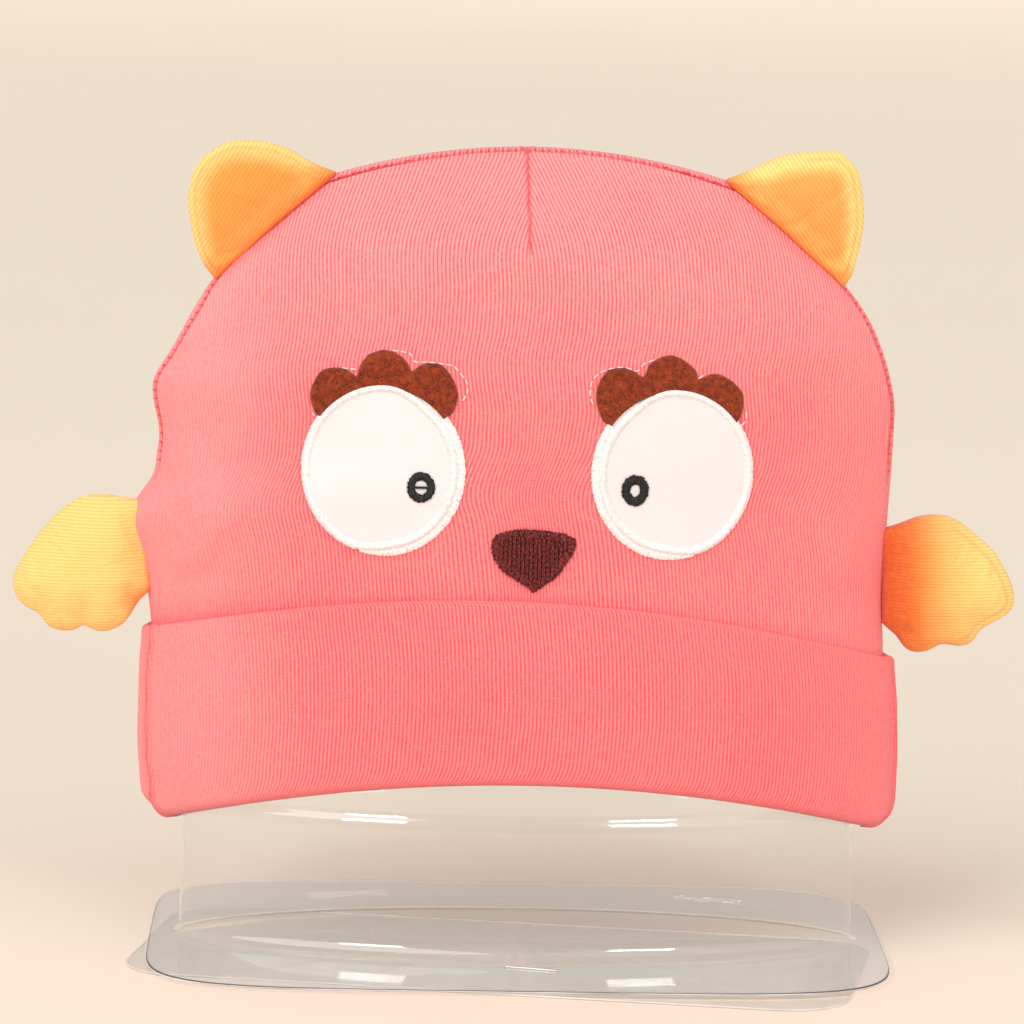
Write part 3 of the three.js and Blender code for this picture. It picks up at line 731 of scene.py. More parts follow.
def knit_material(name, light, shaded, groove_shade, deep_shade, place_of, wale, course, relief, fade_at_sides):
    """Knit whose colour goes from the shaded to the lit colour by the piece's painted light and shade
    attribute, is multiplied by a painted shade between the wales, and turns to a deep painted shade
    colour in seams, creases and at roots where its seam_shade says so."""
    material, tree, shader = new_material(
        name, 0.9, Sheen_Weight=0.2, Sheen_Roughness=0.6, Specular_IOR_Level=0.2
    )
    knit = add(tree, "ShaderNodeGroup", node_tree=knit_loops)
    tree.links.new(place_of(tree), knit.inputs["Place"])
    knit.inputs["Wale"].default_value = wale
    knit.inputs["Course"].default_value = course
    where = add(tree, "ShaderNodeTexCoord").outputs["Object"]
    cloud = add(tree, "ShaderNodeTexNoise", where, None, 30.0, 4.0).outputs[0]
    mottle = add(tree, "ShaderNodeTexNoise", where, None, 900.0, 3.0).outputs[0]
    ends = maths(tree, "MULTIPLY", cloud, 0.0)
    # Towards the sides, most on the left where the light falls, the painted shade of the grooves fades and the
    # mottle grows.
    if fade_at_sides:
        x = add(tree, "ShaderNodeSeparateXYZ", where).outputs[0]
        left = add(tree, "ShaderNodeMapRange", x, -0.055, -0.082, 0.0, 0.8, interpolation_type="SMOOTHSTEP")
        right = add(tree, "ShaderNodeMapRange", x, 0.066, 0.09, 0.0, 0.5, interpolation_type="SMOOTHSTEP")
        ends = maths(tree, "ADD", left.outputs[0], right.outputs[0])
    lines = maths(tree, "MULTIPLY", knit.outputs["Groove Shade"], maths(tree, "MULTIPLY_ADD", ends, -0.75, 1.0))
    # A random mottle and fibre, together with the painted shade of the grooves between the wales.
    mottle_and_groove_shade = maths(tree, "MULTIPLY_ADD", cloud, 0.4, -0.2)
    mottle_and_groove_shade = maths(tree, "ADD", mottle_and_groove_shade, lines)
    spots = maths(tree, "MULTIPLY_ADD", ends, 0.6, 0.2)
    mottle_and_groove_shade = maths(tree, "MULTIPLY_ADD", maths(tree, "SUBTRACT", mottle, 0.45), spots, mottle_and_groove_shade)
    mottle_and_groove_shade = maths(tree, "MULTIPLY_ADD", maths(tree, "SUBTRACT", 0.5, knit.outputs["Fibre"]), 0.5, mottle_and_groove_shade, clamp=True)
    # Painted light and shade of the piece, and painted shade in seams, creases and at roots.
    painted_light = add(tree, "ShaderNodeAttribute", attribute_name="painted_light").outputs["Fac"]
    shade = add(tree, "ShaderNodeAttribute", attribute_name="seam_shade").outputs["Fac"]
    colour = mix_colours(tree, painted_light, shaded, light)
    colour = mix_colours(tree, mottle_and_groove_shade, colour, groove_shade, "MULTIPLY")
    deep = maths(tree, "MULTIPLY", shade, maths(tree, "MULTIPLY_ADD", mottle, 0.8, 0.5), clamp=True)
    colour = mix_colours(tree, deep, colour, deep_shade)
    tree.links.new(colour, shader.inputs["Base Color"])
    bump = add(tree, "ShaderNodeBump", 0.55, relief)
    tree.links.new(knit.outputs["Height"], bump.inputs["Height"])
    tree.links.new(bump.outputs[0], shader.inputs["Normal"])
    return material


def knit_uv(tree):
    return add(tree, "ShaderNodeUVMap", uv_map="knit").outputs[0]


def thread_material(name, colour, dark):
    material, tree, shader = new_material(name, 0.6, Specular_IOR_Level=0.25)
    place = add(tree, "ShaderNodeTexCoord").outputs["Object"]
    fibre = add(tree, "ShaderNodeTexNoise", place, None, 1800.0, 2.0).outputs[0]
    share = add(tree, "ShaderNodeMapRange", fibre, 0.35, 0.65, 0.0, 1.0).outputs[0]
    tree.links.new(mix_colours(tree, share, dark, colour), shader.inputs["Base Color"])
    bump = add(tree, "ShaderNodeBump", 0.5, 0.08 * MM)
    tree.links.new(fibre, bump.inputs["Height"])
    tree.links.new(bump.outputs[0], shader.inputs["Normal"])
    return material


# Lit and shaded copies of the coral, mixed by painted light and shade. The third is a painted shade colour
# between the wales, and the last a deep painted shade colour for seams, the dart and creases.
lit_coral = (1.0, 0.375, 0.375, 1)
shaded_coral = (0.97, 0.215, 0.225, 1)
coral_groove_shade = (0.95, 0.28, 0.33, 1)
coral_seam_shade = (0.84, 0.055, 0.075, 1)
coral_knit = knit_material(
    "coral_knit", lit_coral, shaded_coral, coral_groove_shade, coral_seam_shade, knit_uv, wale_pitch,
    course_pitch, 0.25 * MM, True,
)
coral_thread = thread_material("coral_thread", (0.90, 0.13, 0.15, 1), (0.65, 0.045, 0.065, 1))
for name, side in (("crown_front", -1), ("crown_back", 1)):
    panel, stitches = make_panel(name + "_cloth", side)
    panel.data.materials.append(coral_knit)
    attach(panel, "root")
    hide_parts(name)
    if stitches:
        crown_stitches = lay_strands("crown_seam_thread", stitches, 0.13 * MM, coral_thread)


# Cuff: the lower end of both panels turned up over the outside, so it is a doubled band with a
# round fold at the hem and a rolled edge on top. Its side seams show as wavy grooves, and its
# lower corners are drawn in where the seam allowance lies in the fold.
cuff_wall = 2.6 * MM
cuff_gap = 0.3 * MM
cuff_bottom = cuff_low.z
cuff_columns = 520
corner_reach = 7.5 * MM
corner_draw = (5.5 * MM, 3.5 * MM)


def arc_points(centre, radius, start, end, steps):
    angles = [math.radians(blend(start, end, n / steps)) for n in range(steps + 1)]
    return [(centre[0] + radius * math.cos(a), centre[1] + radius * math.sin(a)) for a in angles]


def cuff_section():
    """Places across the band: distance out from the crown's seam line and height, in metres."""
    outer = cuff_gap + cuff_wall
    roll = cuff_wall / 2
    top = cuff_bottom + cuff_height
    points = [(cuff_gap, cuff_bottom + cuff_wall + (cuff_height - cuff_wall - roll) * n / 8) for n in range(8)]
    points += arc_points((cuff_gap + roll, top - roll), roll, 180, 0, 8)
    for n in range(1, 30):
        share = n / 30
        bulge = 0.35 * cuff_wall * math.sin(math.pi * share)
        points.append((outer + bulge, blend(top - roll, cuff_bottom + cuff_wall, share)))
    points += arc_points((outer - cuff_wall, cuff_bottom + cuff_wall), cuff_wall, 0, -90, 7)
    points += [(-cloth_wall * 1.5, cuff_bottom), (-cloth_wall * 1.5, cuff_bottom + 1.6 * MM)]
    return points


def cuff_place(around, spread, z):
    turn = around * 2 * math.pi
    side = -1 if around < 0.5 else 1
    across = -math.cos(turn)
    left, right, _ = soft_seam_row(max(0, (z - hat_base) / seam_height))
    middle = (right - left) / 2 * hat_half
    half = (right + left) / 2 * hat_half + spread
    rest = max(0, 1 - across * across)
    depth = (front_depth if side < 0 else back_depth) + spread
    x = middle + across * half
    near_end = hump(math.sqrt(rest), 0, 0.22)
    low = ramp(z, cuff_bottom + corner_reach, cuff_bottom)
    x -= math.copysign(corner_draw[0 if across < 0 else 1], across) * near_end * low * low
    wave = noise.noise(Vector((across, z / 0.014, 6.0))) * 0.4 * MM * near_end
    share = (z - cuff_bottom) / cuff_height
    z += hem_arch * rest - across * cuff_tilt * share
    return Vector((x + wave, side * depth * rest**belly_power, z))


section = cuff_section()
cuff_shape, cuff_grid = wrapped_grid(cuff_columns, len(section), "seam_shade", "painted_light")
for vert, around, up in cuff_grid:
    spread, z = section[round(up * len(section)) % len(section)]
    vert.co = cuff_place(around % 1, spread, z)
cuff_lines, _, cuff_lengths = lay_lengths(cuff_grid)
cuff_uv = cuff_shape.loops.layers.uv.new("knit")
for face in cuff_shape.faces:
    for loop in face.loops:
        _, across, _, up, _ = cuff_lengths[loop.vert]
        loop[cuff_uv].uv = (across, up)
cuff_shape.normal_update()
cuff_shade = cuff_shape.verts.layers.float["seam_shade"]
cuff_painted_light = cuff_shape.verts.layers.float["painted_light"]
cuff_distance = {}
outward = Vector((0, -1, 0))
for vert, around, up in cuff_grid:
    x, y, z = vert.co
    wobble = noise.noise(Vector((x / 0.05, z / 0.009, 9.0))) * 1.4 * MM
    seam_in = (5.2 if x < 0 else 2.0) * MM
    cuff_distance[vert] = -y - seam_in + (wobble if x < 0 else wobble * 0.3)
    # Painted light: paler towards the cuff's left end, where the light falls.
    vert[cuff_painted_light] = 0.08 + 0.42 * ramp(-x, 0.04, 0.08)
for vert, around, up in cuff_grid:
    distance = cuff_distance[vert]
    vert.co = vert.co + vert.normal * seam_relief(distance) * 0.9
    # Painted shade in the side seams' grooves and under the fold at the hem.
    dark = 0.7 * hump(distance, 0, 0.55 * MM)
    hem = ramp(up * len(section), len(section) - 10, len(section) - 5)
    vert[cuff_shade] = min(1, dark + 0.15 * hem)
outer_rows = [line for n, line in enumerate(cuff_lines) if 14 < n < len(section) - 5]
front_lines = [line[: len(line) // 2] for line in outer_rows]
cuff_stitch_runs = stitches_across(front_lines, cuff_distance, 1.2 * MM, 0.8 * MM)
bmesh.ops.remove_doubles(cuff_shape, verts=cuff_shape.verts, dist=0.01 * MM)
bmesh.ops.recalc_face_normals(cuff_shape, faces=cuff_shape.faces)
cuff = new_object("cuff_cloth", cuff_shape)
cuff.data.materials.append(coral_knit)
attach(cuff, "root")
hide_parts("cuff")
cuff_stitches = lay_strands("cuff_seam_thread", cuff_stitch_runs, 0.13 * MM, coral_thread)

# Ears: two layers of yellow knit sewn round the rim, lightly filled, and caught in the crown's
# seam along its slanting corners. The back layer rolls forward past the rim's seam.
# Rim places as x and z in mm, from the upper end of the root round to the lower one.
ear_left_rim = (
    (-49.6, 195.4), (-55.5, 198.3), (-58.5, 200.1), (-61.8, 201.7), (-66.4, 202.9), (-73.0, 203.1),
    (-77.2, 202.1), (-80.9, 199.7), (-83.5, 196.8), (-84.9, 193.8), (-85.6, 190.5), (-85.7, 187.2),
    (-85.2, 183.0), (-84.4, 178.8), (-82.6, 173.9), (-79.6, 167.6),
)
ear_right_rim = (
    (49.8, 195.2), (55.7, 198.4), (60.6, 200.8), (64.8, 202.2), (68.9, 202.7), (76.4, 203.0),
    (78.9, 201.8), (81.1, 199.7), (82.6, 196.9), (83.6, 191.0), (84.0, 186.0), (83.5, 181.0),
    (82.2, 175.1), (81.5, 171.8), (80.3, 168.0),
)
ear_thickness = 10.5 * MM
pad_rim = 1.5 * MM
pad_rings = 48
pad_rim_steps = 88
pad_root_steps = 30
root_tuck = 1.2 * MM


def curve_through(points, count):
    """Evenly spaced places on a smooth curve through the points."""
    dense = []
    for n in range(len(points) - 1):
        before, after = points[max(n - 1, 0)], points[min(n + 2, len(points) - 1)]
        for step in range(12):
            t = step / 12
            dense.append(tuple(
                b + 0.5 * ((c - a) * t + (2 * a - 5 * b + 4 * c - d) * t**2 + (3 * b - a - 3 * c + d) * t**3)
                for a, b, c, d in zip(before, points[n], points[n + 1], after)
            ))
    dense.append(tuple(points[-1]))
    runs = [0.0]
    for first, second in zip(dense, dense[1:]):
        runs.append(runs[-1] + math.dist(first, second))
    places = []
    at = 0
    for n in range(count):
        wanted = runs[-1] * n / (count - 1)
        while at < len(dense) - 2 and runs[at + 1] < wanted:
            at += 1
        share = (wanted - runs[at]) / (runs[at + 1] - runs[at])
        places.append(tuple(blend(a, b, share) for a, b in zip(dense[at], dense[at + 1])))
    return places


filling_scale = 10
filling_steps = 20


def fill_pad(shape, sewn, most):
    """Fill a pad: its two layers swell as cloth between the sewn edges that hold them still."""
    mesh = bpy.data.meshes.new("filling")
    shape.to_mesh(mesh)
    for vert in mesh.vertices:
        vert.co *= filling_scale
    pad = bpy.data.objects.new("filling", mesh)
    scene.collection.objects.link(pad)
    pad.vertex_groups.new(name="sewn").add(sewn, 1.0, "REPLACE")
    cloth = pad.modifiers.new("cloth", "CLOTH")
    cloth.settings.quality = 6
    cloth.settings.mass = 0.3
    cloth.settings.tension_stiffness = cloth.settings.compression_stiffness = 12
    cloth.settings.shear_stiffness = 5
    cloth.settings.bending_stiffness = 0.2
    cloth.settings.use_pressure = True
    cloth.settings.uniform_pressure_force = 4
    cloth.settings.shrink_min = -0.04
    cloth.settings.vertex_group_mass = "sewn"
    cloth.settings.effector_weights.gravity = 0
    cloth.collision_settings.use_collision = False
    for step in range(1, filling_steps + 1):
        scene.frame_set(step)
    settled = pad.evaluated_get(bpy.context.evaluated_depsgraph_get())
    for vert, soft in zip(shape.verts, settled.data.vertices):
        move = soft.co / filling_scale - vert.co
        if move.length > most:
            move *= most / move.length
        vert.co += move
    bpy.data.objects.remove(pad)
    scene.frame_set(1)


def make_pad(name, rim_points, thickness, soft, seam_in, seam_ends, painted_light_of, tuck, root_shade):
    """A filled piece of two layers. rim_points run round it from root end to root end, soft is
    how far in the filling rounds off, the rim's seam shows between the shares seam_ends, the given
    function paints light and shade over it, and painted shade deepens its colour as far as root_shade from the
    root."""
    rim = [(x * MM, z * MM) for x, z in curve_through(rim_points, pad_rim_steps)]
    root = curve_through([rim[-1], rim[0]], pad_root_steps)
    outline = rim + root[1:-1]
    centre = [sum(column) / len(outline) for column in zip(*outline)]
    inward = -math.copysign(tuck, centre[0])
    shape, grid = wrapped_grid(len(outline), pad_rings, "painted_light", "seam_shade")
    painted_light = shape.verts.layers.float["painted_light"]
    shade = shape.verts.layers.float["seam_shade"]
    depths = {}
    for vert, around, up in grid:
        n = round(around * len(outline)) % len(outline)
        facing = 2 * up - 1
        share = math.cos(facing * math.pi / 2)
        x = blend(centre[0], outline[n][0], share)
        z = blend(centre[1], outline[n][1], share)
        depth = math.sqrt(min((x - a) ** 2 + (z - b) ** 2 for a, b in outline))
        to_root = math.sqrt(min((x - a) ** 2 + (z - b) ** 2 for a, b in root))
        round_off = math.sqrt(max(0, 1 - (1 - min(1, depth / soft)) ** 2))
        half = pad_rim / 2 + (thickness - pad_rim) / 2 * round_off
        x += inward * ramp(to_root, 5 * MM, 0)
        on_rim = seam_ends[0] < n / pad_rim_steps < seam_ends[1]
        front_seam = hump(depth, seam_in, 0.4 * MM) if facing < 0 and on_rim else 0
        half -= 0.55 * MM * front_seam
        vert.co = Vector((x, half * (0 if abs(facing) < 0.01 else math.copysign(1, facing)), z))
        # Painted light and shade over the piece; painted shade in the rim's seam groove and towards the root.
        vert[painted_light] = painted_light_of(x, z, depth, to_root)
        vert[shade] = min(1, 0.25 * front_seam + 0.85 * ramp(to_root, root_shade, 0))
        depths[vert] = depth
    bmesh.ops.remove_doubles(shape, verts=shape.verts, dist=0.01 * MM)
    bmesh.ops.recalc_face_normals(shape, faces=shape.faces)
    shape.verts.index_update()
    sewn = [v.index for v in shape.verts if depths.get(v, 1) < seam_in + 0.4 * MM]
    fill_pad(shape, sewn, 1.6 * MM)
    pad = new_object(name, shape)
    smooth = pad.modifiers.new("smooth", "SUBSURF")
    smooth.levels = smooth.render_levels = 1
    return pad


def turned_place(turn_degrees):
    def place_of(tree):
        where = add(tree, "ShaderNodeTexCoord").outputs["Object"]
        upright = add(tree, "ShaderNodeMapping", where)
        upright.inputs["Rotation"].default_value = (math.radians(-90), 0, 0)
        turned = add(tree, "ShaderNodeMapping", upright.outputs[0])
        turned.inputs["Rotation"].default_value = (0, 0, math.radians(turn_degrees))
        return turned.outputs[0]
    return place_of


# Lit and shaded copies of the yellow, mixed by painted light and shade. The third is a painted shade colour
# between the wales, and the last a deep painted shade orange for seams and roots.
lit_yellow = (0.99, 0.72, 0.24, 1)
shaded_orange = (0.97, 0.31, 0.05, 1)
yellow_groove_shade = (0.95, 0.76, 0.60, 1)
deep_shade_orange = (0.66, 0.07, 0.012, 1)


# Painted light and shade of the ears: lit yellow near the rim, where the light falls on the top, and shaded
# orange in the middle and towards the root. The right ear is lighter overall.
def ear_painted_light(lightest):
    def painted_light_of(x, z, depth, to_root):
        rim = ramp(depth, 7 * MM, 0.6 * MM) * ramp(to_root, 1 * MM, 8 * MM)
        return 1.1 * lightest * rim + 0.2 * lightest**3
    return painted_light_of


for name, rim_points, turn, lightest, seam_in in (
    ("ear_left", ear_left_rim, 30, 0.75, 1.7 * MM), ("ear_right", ear_right_rim, -35, 1.0, 1.8 * MM)
):
    seam_ends = (0.0, 1.0) if name == "ear_left" else (0.3, 1.0)
    ear = make_pad(
        name + "_cloth", rim_points, ear_thickness, 9 * MM, seam_in, seam_ends, ear_painted_light(lightest),
        root_tuck, 2.0 * MM,
    )
    ear.data.materials.append(knit_material(
        name + "_knit", lit_yellow, shaded_orange, yellow_groove_shade, deep_shade_orange, turned_place(turn),
        0.95 * MM, 0.8 * MM, 0.2 * MM, False,
    ))
    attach(ear, "root")
    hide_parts(name)

# Wings: two layers of yellow knit with three lobes on the lower edge, filled and caught in the
# side seams just above the cuff. Rim places as x and z in mm, from the root's top to its foot.
wing_left_rim = (
    (-96.2, 111.8), (-101.4, 112.6), (-104.8, 113.0), (-108.5, 113.1), (-112.4, 112.2),
    (-115.2, 110.5), (-117.9, 108.1), (-121.5, 104.2), (-124.6, 99.8), (-127.3, 95.4), (-128.9, 91.7),
    (-128.6, 88.3), (-127.4, 86.0), (-125.2, 84.0), (-122.9, 83.0), (-121.5, 81.6), (-119.8, 79.4),
    (-117.7, 78.5), (-114.9, 78.2), (-112.5, 78.8), (-111.3, 79.8), (-109.9, 79.4), (-108.2, 78.5),
    (-106.0, 78.2), (-103.6, 78.7), (-101.1, 80.1), (-99.3, 82.2), (-96.8, 86.5), (-94.6, 89.8),
)
wing_right_rim = (
    (92.0, 107.4), (98.2, 110.2), (101.2, 111.1), (105.6, 111.4), (109.0, 110.6), (113.2, 107.9),
    (116.7, 104.9), (119.5, 102.5), (121.7, 99.1), (123.9, 95.0), (125.0, 91.3), (124.8, 88.5),
    (123.1, 86.1), (120.1, 84.3), (116.8, 82.2), (114.5, 79.0), (111.5, 77.9), (108.4, 78.3),
    (106.3, 78.2), (103.3, 76.6), (99.9, 76.2), (97.4, 77.4), (94.9, 80.8), (92.6, 83.6),
)
wing_thickness = 13 * MM


# Painted shade of the wings: orange at the root, reaching far over the right wing in the crown's shadow, on the
# underside near the root and along the lower lobes.
def wing_painted_shade(darkest, reach):
    def painted_light_of(x, z, depth, to_root):
        under = 0.8 * ramp(z, 93 * MM, 85 * MM) * ramp(to_root, 10 * MM, 3 * MM)
        return blend(darkest, 0.95, ramp(to_root, 1 * MM, reach)) - under - 0.3 * ramp(z, 82 * MM, 78 * MM)
    return painted_light_of


wing_knit = knit_material(
    "wing_knit", lit_yellow, shaded_orange, yellow_groove_shade, deep_shade_orange, turned_place(90),
    0.83 * MM, 0.75 * MM, 0.2 * MM, False,
)
for name, rim_points, darkest, reach, seam_ends, root_shade in (
    ("wing_left", wing_left_rim, 0.8, 8 * MM, (2.0, 2.0), 2 * MM),
    ("wing_right", wing_right_rim, 0.0, 27 * MM, (0.2, 0.72), 16 * MM),
):
    wing = make_pad(
        name + "_cloth", rim_points, wing_thickness, 11 * MM, 2.1 * MM, seam_ends,
        wing_painted_shade(darkest, reach), root_tuck, root_shade,
    )
    wing.data.materials.append(wing_knit)
    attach(wing, "root")
    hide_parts(name)


# Eyes: white twill patches laid on the front and sewn down with a satin-stitched cord, which is
# doubled by a flatter second row on the side that faces the nose.
eye_x = 35.8 * MM
eye_z = 124.5 * MM
eye_half_width = 20.2 * MM
eye_half_height = 21.3 * MM
cord_width = 2.0 * MM
band_width = 1.7 * MM
patch_rise = 0.6 * MM
trim_gap = 0.15 * MM


def face_front(x, z):
    """The y of the crown's front cloth at a place on the face."""
    low, high = 0.0, 1.0
    for _ in range(20):
        middle = (low + high) / 2
        left, right, arch = soft_seam_row(middle)
        across = (2 * x / hat_half + left - right) / (left + right)
        if hat_base + middle * seam_height + arch * hem_arch * (1 - across * across) < z:
            low = middle
        else:
            high = middle
    return crown_point(across, low, -1).y


def on_face(x, z, lift):
    return Vector((x, face_front(x, z) - lift, z))


twill, twill_tree, twill_shader = new_material("white_twill", 0.85, Sheen_Weight=0.1, Specular_IOR_Level=0.2)
twill_place = add(twill_tree, "ShaderNodeTexCoord").outputs["Object"]
twill_turn = add(twill_tree, "ShaderNodeMapping", twill_place)
twill_turn.inputs["Rotation"].default_value = (0, math.radians(-50), 0)
twill_wave = add(twill_tree, "ShaderNodeTexWave", twill_turn.outputs[0], 420.0, 1.2, 1.0, 1.0).outputs[1]
twill_grain = add(twill_tree, "ShaderNodeTexNoise", twill_place, None, 900.0, 3.0).outputs[0]
twill_sum = maths(twill_tree, "MULTIPLY_ADD", twill_wave, 0.5, twill_grain)
twill_tree.links.new(
    mix_colours(twill_tree, twill_sum, (0.72, 0.665, 0.665, 1), (0.80, 0.745, 0.745, 1)),
    twill_shader.inputs["Base Color"],
)
twill_bump = add(twill_tree, "ShaderNodeBump", 0.4, 0.08 * MM)
twill_tree.links.new(twill_sum, twill_bump.inputs["Height"])
twill_tree.links.new(twill_bump.outputs[0], twill_shader.inputs["Normal"])


def satin_runs(centre, ring_of, pitch, rise, base, chance, ragged=0.05):
    """Arched stitches across a ring. ring_of gives the outer and inner (half width, half
    height) for an angle, or None where there is no ring."""
    runs = []
    count = round(math.pi * 2 * max(ring_of(t)[0][0] for t in (0, math.pi) if ring_of(t)) / pitch)
    for n in range(count):
        turn = 2 * math.pi * (n + chance.uniform(-0.4, 0.4)) / count
        ring = ring_of(turn)
        slant = chance.uniform(-0.6, 0.6) * pitch / 0.02
        grow = [chance.uniform(-ragged, ragged) for _ in range(2)]
        if not ring:
            continue
        run = []
        for step in range(5):
            share = step / 4
            at = share + (grow[0] if step == 0 else grow[1] if step == 4 else 0)
            spin = turn + slant * (share - 0.5)
            x = centre[0] + blend(ring[0][0], ring[1][0], at) * math.cos(spin)
            z = centre[1] + blend(ring[0][1], ring[1][1], at) * math.sin(spin)
            run.append(on_face(x, z, base + rise * math.sin(math.pi * share) ** 0.7))
        runs.append(run)
    return runs


def doubled_share(turn, side):
    """1 where the eye's border faces the nose and 0 where it faces away."""
    towards = math.cos(turn - (math.radians(-15) if side < 0 else math.radians(195)))
    return ramp(towards, -0.25, 0.45)


def cord_ring(side):
    def ring_of(turn):
        outer_in = band_width * doubled_share(turn, side)
        outer = (eye_half_width - outer_in, eye_half_height - outer_in)
        return outer, (outer[0] - cord_width, outer[1] - cord_width)
    return ring_of


def band_ring(side):
    def ring_of(turn):
        share = doubled_share(turn, side)
        if share < 0.25:
            return None
        width = band_width * share + 0.3 * MM
        return (eye_half_width, eye_half_height), (eye_half_width - width, eye_half_height - width)
    return ring_of


white_thread = thread_material("white_thread", (0.93, 0.90, 0.89, 1), (0.78, 0.72, 0.72, 1))
chance = random.Random(5)
patch_edge = 1.0 * MM
patch_places = [(n / 12, patch_rise) for n in range(12)] + [(0.985, patch_rise * 0.8), (1, trim_gap)]
for name, side in (("left", -1), ("right", 1)):
    centre = (side * eye_x, eye_z)
    patch_shape = bmesh.new()
    spin_profile(patch_shape, patch_places, 72)
    for vert in patch_shape.verts:
        share = math.hypot(vert.co.x, vert.co.y)
        turn = math.atan2(vert.co.y, vert.co.x)
        edge = patch_edge + band_width * doubled_share(turn, side)
        x = centre[0] + share * (eye_half_width - edge) * math.cos(turn)
        z = centre[1] + share * (eye_half_height - edge) * math.sin(turn)
        vert.co = on_face(x, z, vert.co.z)
    bmesh.ops.recalc_face_normals(patch_shape, faces=patch_shape.faces)
    patch_shape.normal_update()
    if sum(face.normal.y for face in patch_shape.faces) > 0:
        bmesh.ops.reverse_faces(patch_shape, faces=patch_shape.faces)
    patch = new_object("eye_patch_" + name + "_cloth", patch_shape)
    patch.data.materials.append(twill)
    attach(patch, "root")
    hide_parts("eye_patch_" + name)
    runs = satin_runs(centre, cord_ring(side), 0.2 * MM, 0.85 * MM, 0.45 * MM, chance, 0.06)
    runs += satin_runs(centre, band_ring(side), 0.22 * MM, 0.35 * MM, 0.3 * MM, chance, 0.08)
    border = lay_strands("eye_border_" + name + "_thread", runs, 0.17 * MM, white_thread)
    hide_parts("eye_border_" + name)

# Pupils: small rings of black satin stitch on the patches, with a bar across the left one.
pupil_z = 120.6 * MM
black_thread = thread_material("black_thread", (0.030, 0.026, 0.026, 1), (0.006, 0.006, 0.006, 1))
for name, pupil_x, outer, hole in (
    ("left", -26.4 * MM, (3.3 * MM, 3.65 * MM), (1.8 * MM, 1.95 * MM)),
    ("right", 26.5 * MM, (3.2 * MM, 3.7 * MM), (1.45 * MM, 1.75 * MM)),
):
    centre = (pupil_x, pupil_z)
    runs = satin_runs(
        centre, lambda turn: (outer, hole), 0.11 * MM, 0.45 * MM, patch_rise + 0.2 * MM, chance, 0.16
    )
    if name == "left":
        for line in range(3):
            z = pupil_z + (line - 1) * 0.15 * MM
            ends = [pupil_x + hole[0] * share + chance.uniform(-0.1, 0.1) * MM for share in (-1.3, 0, 1.3)]
            runs.append([on_face(x, z, patch_rise + 0.5 * MM) for x in ends])
    pupil = lay_strands("pupil_" + name + "_thread", runs, 0.16 * MM, black_thread)
    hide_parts("pupil_" + name)

# Brows: brown felt with three round lobes, cut by hand, caught under the eyes' borders and tacked
# down with loose white running stitches. Edge places as x and z in mm, round the lobes.
brow_left_edge = (
    (-52.4, 137.1), (-53.8, 140.0), (-54.1, 143.2), (-52.1, 147.6), (-49.8, 148.9), (-47.4, 149.2),
    (-44.9, 148.6), (-42.7, 147.3), (-42.0, 149.7), (-40.2, 152.3), (-38.3, 153.3), (-36.1, 153.9),
    (-33.8, 153.5), (-31.8, 152.5), (-30.2, 150.9), (-29.2, 149.0), (-27.1, 150.4), (-24.7, 151.0),
    (-22.0, 150.7), (-20.0, 148.9), (-18.6, 146.6), (-17.7, 143.8), (-18.1, 141.1), (-19.0, 138.9),
)
brow_right_edge = (
    (18.1, 137.7), (16.8, 140.9), (16.4, 144.4), (17.3, 147.6), (19.2, 150.0), (21.0, 150.6),
    (22.7, 150.8), (25.5, 150.0), (28.1, 148.6), (29.4, 151.4), (31.7, 153.0), (34.4, 153.8),
    (37.2, 153.1), (39.6, 151.5), (41.2, 149.8), (41.9, 148.0), (44.4, 149.0), (46.7, 149.1),
    (49.5, 147.9), (51.9, 145.8), (53.0, 144.2), (53.2, 142.7), (52.9, 139.5), (51.4, 136.7),
)
brow_wall = 1.1 * MM

felt, felt_tree, felt_shader = new_material("brown_felt", 0.95, Sheen_Weight=0.25, Specular_IOR_Level=0.15)
felt_place = add(felt_tree, "ShaderNodeTexCoord").outputs["Object"]
felt_cloud = add(felt_tree, "ShaderNodeTexNoise", felt_place, None, 600.0, 5.0, 0.75).outputs[0]
felt_fibre = add(felt_tree, "ShaderNodeTexNoise", felt_place, None, 2200.0, 2.0).outputs[0]
felt_mix = maths(felt_tree, "MULTIPLY_ADD", felt_fibre, 0.5, felt_cloud)
felt_ramp = add(felt_tree, "ShaderNodeValToRGB", felt_mix)
felt_ramp.color_ramp.elements[0].position = 0.58
felt_ramp.color_ramp.elements[0].color = (0.10, 0.016, 0.006, 1)
felt_ramp.color_ramp.elements[1].position = 0.98
felt_ramp.color_ramp.elements[1].color = (0.38, 0.055, 0.014, 1)
felt_tree.links.new(felt_ramp.outputs[0], felt_shader.inputs["Base Color"])
felt_bump = add(felt_tree, "ShaderNodeBump", 0.8, 0.25 * MM)
felt_tree.links.new(felt_mix, felt_bump.inputs["Height"])
felt_tree.links.new(felt_bump.outputs[0], felt_shader.inputs["Normal"])

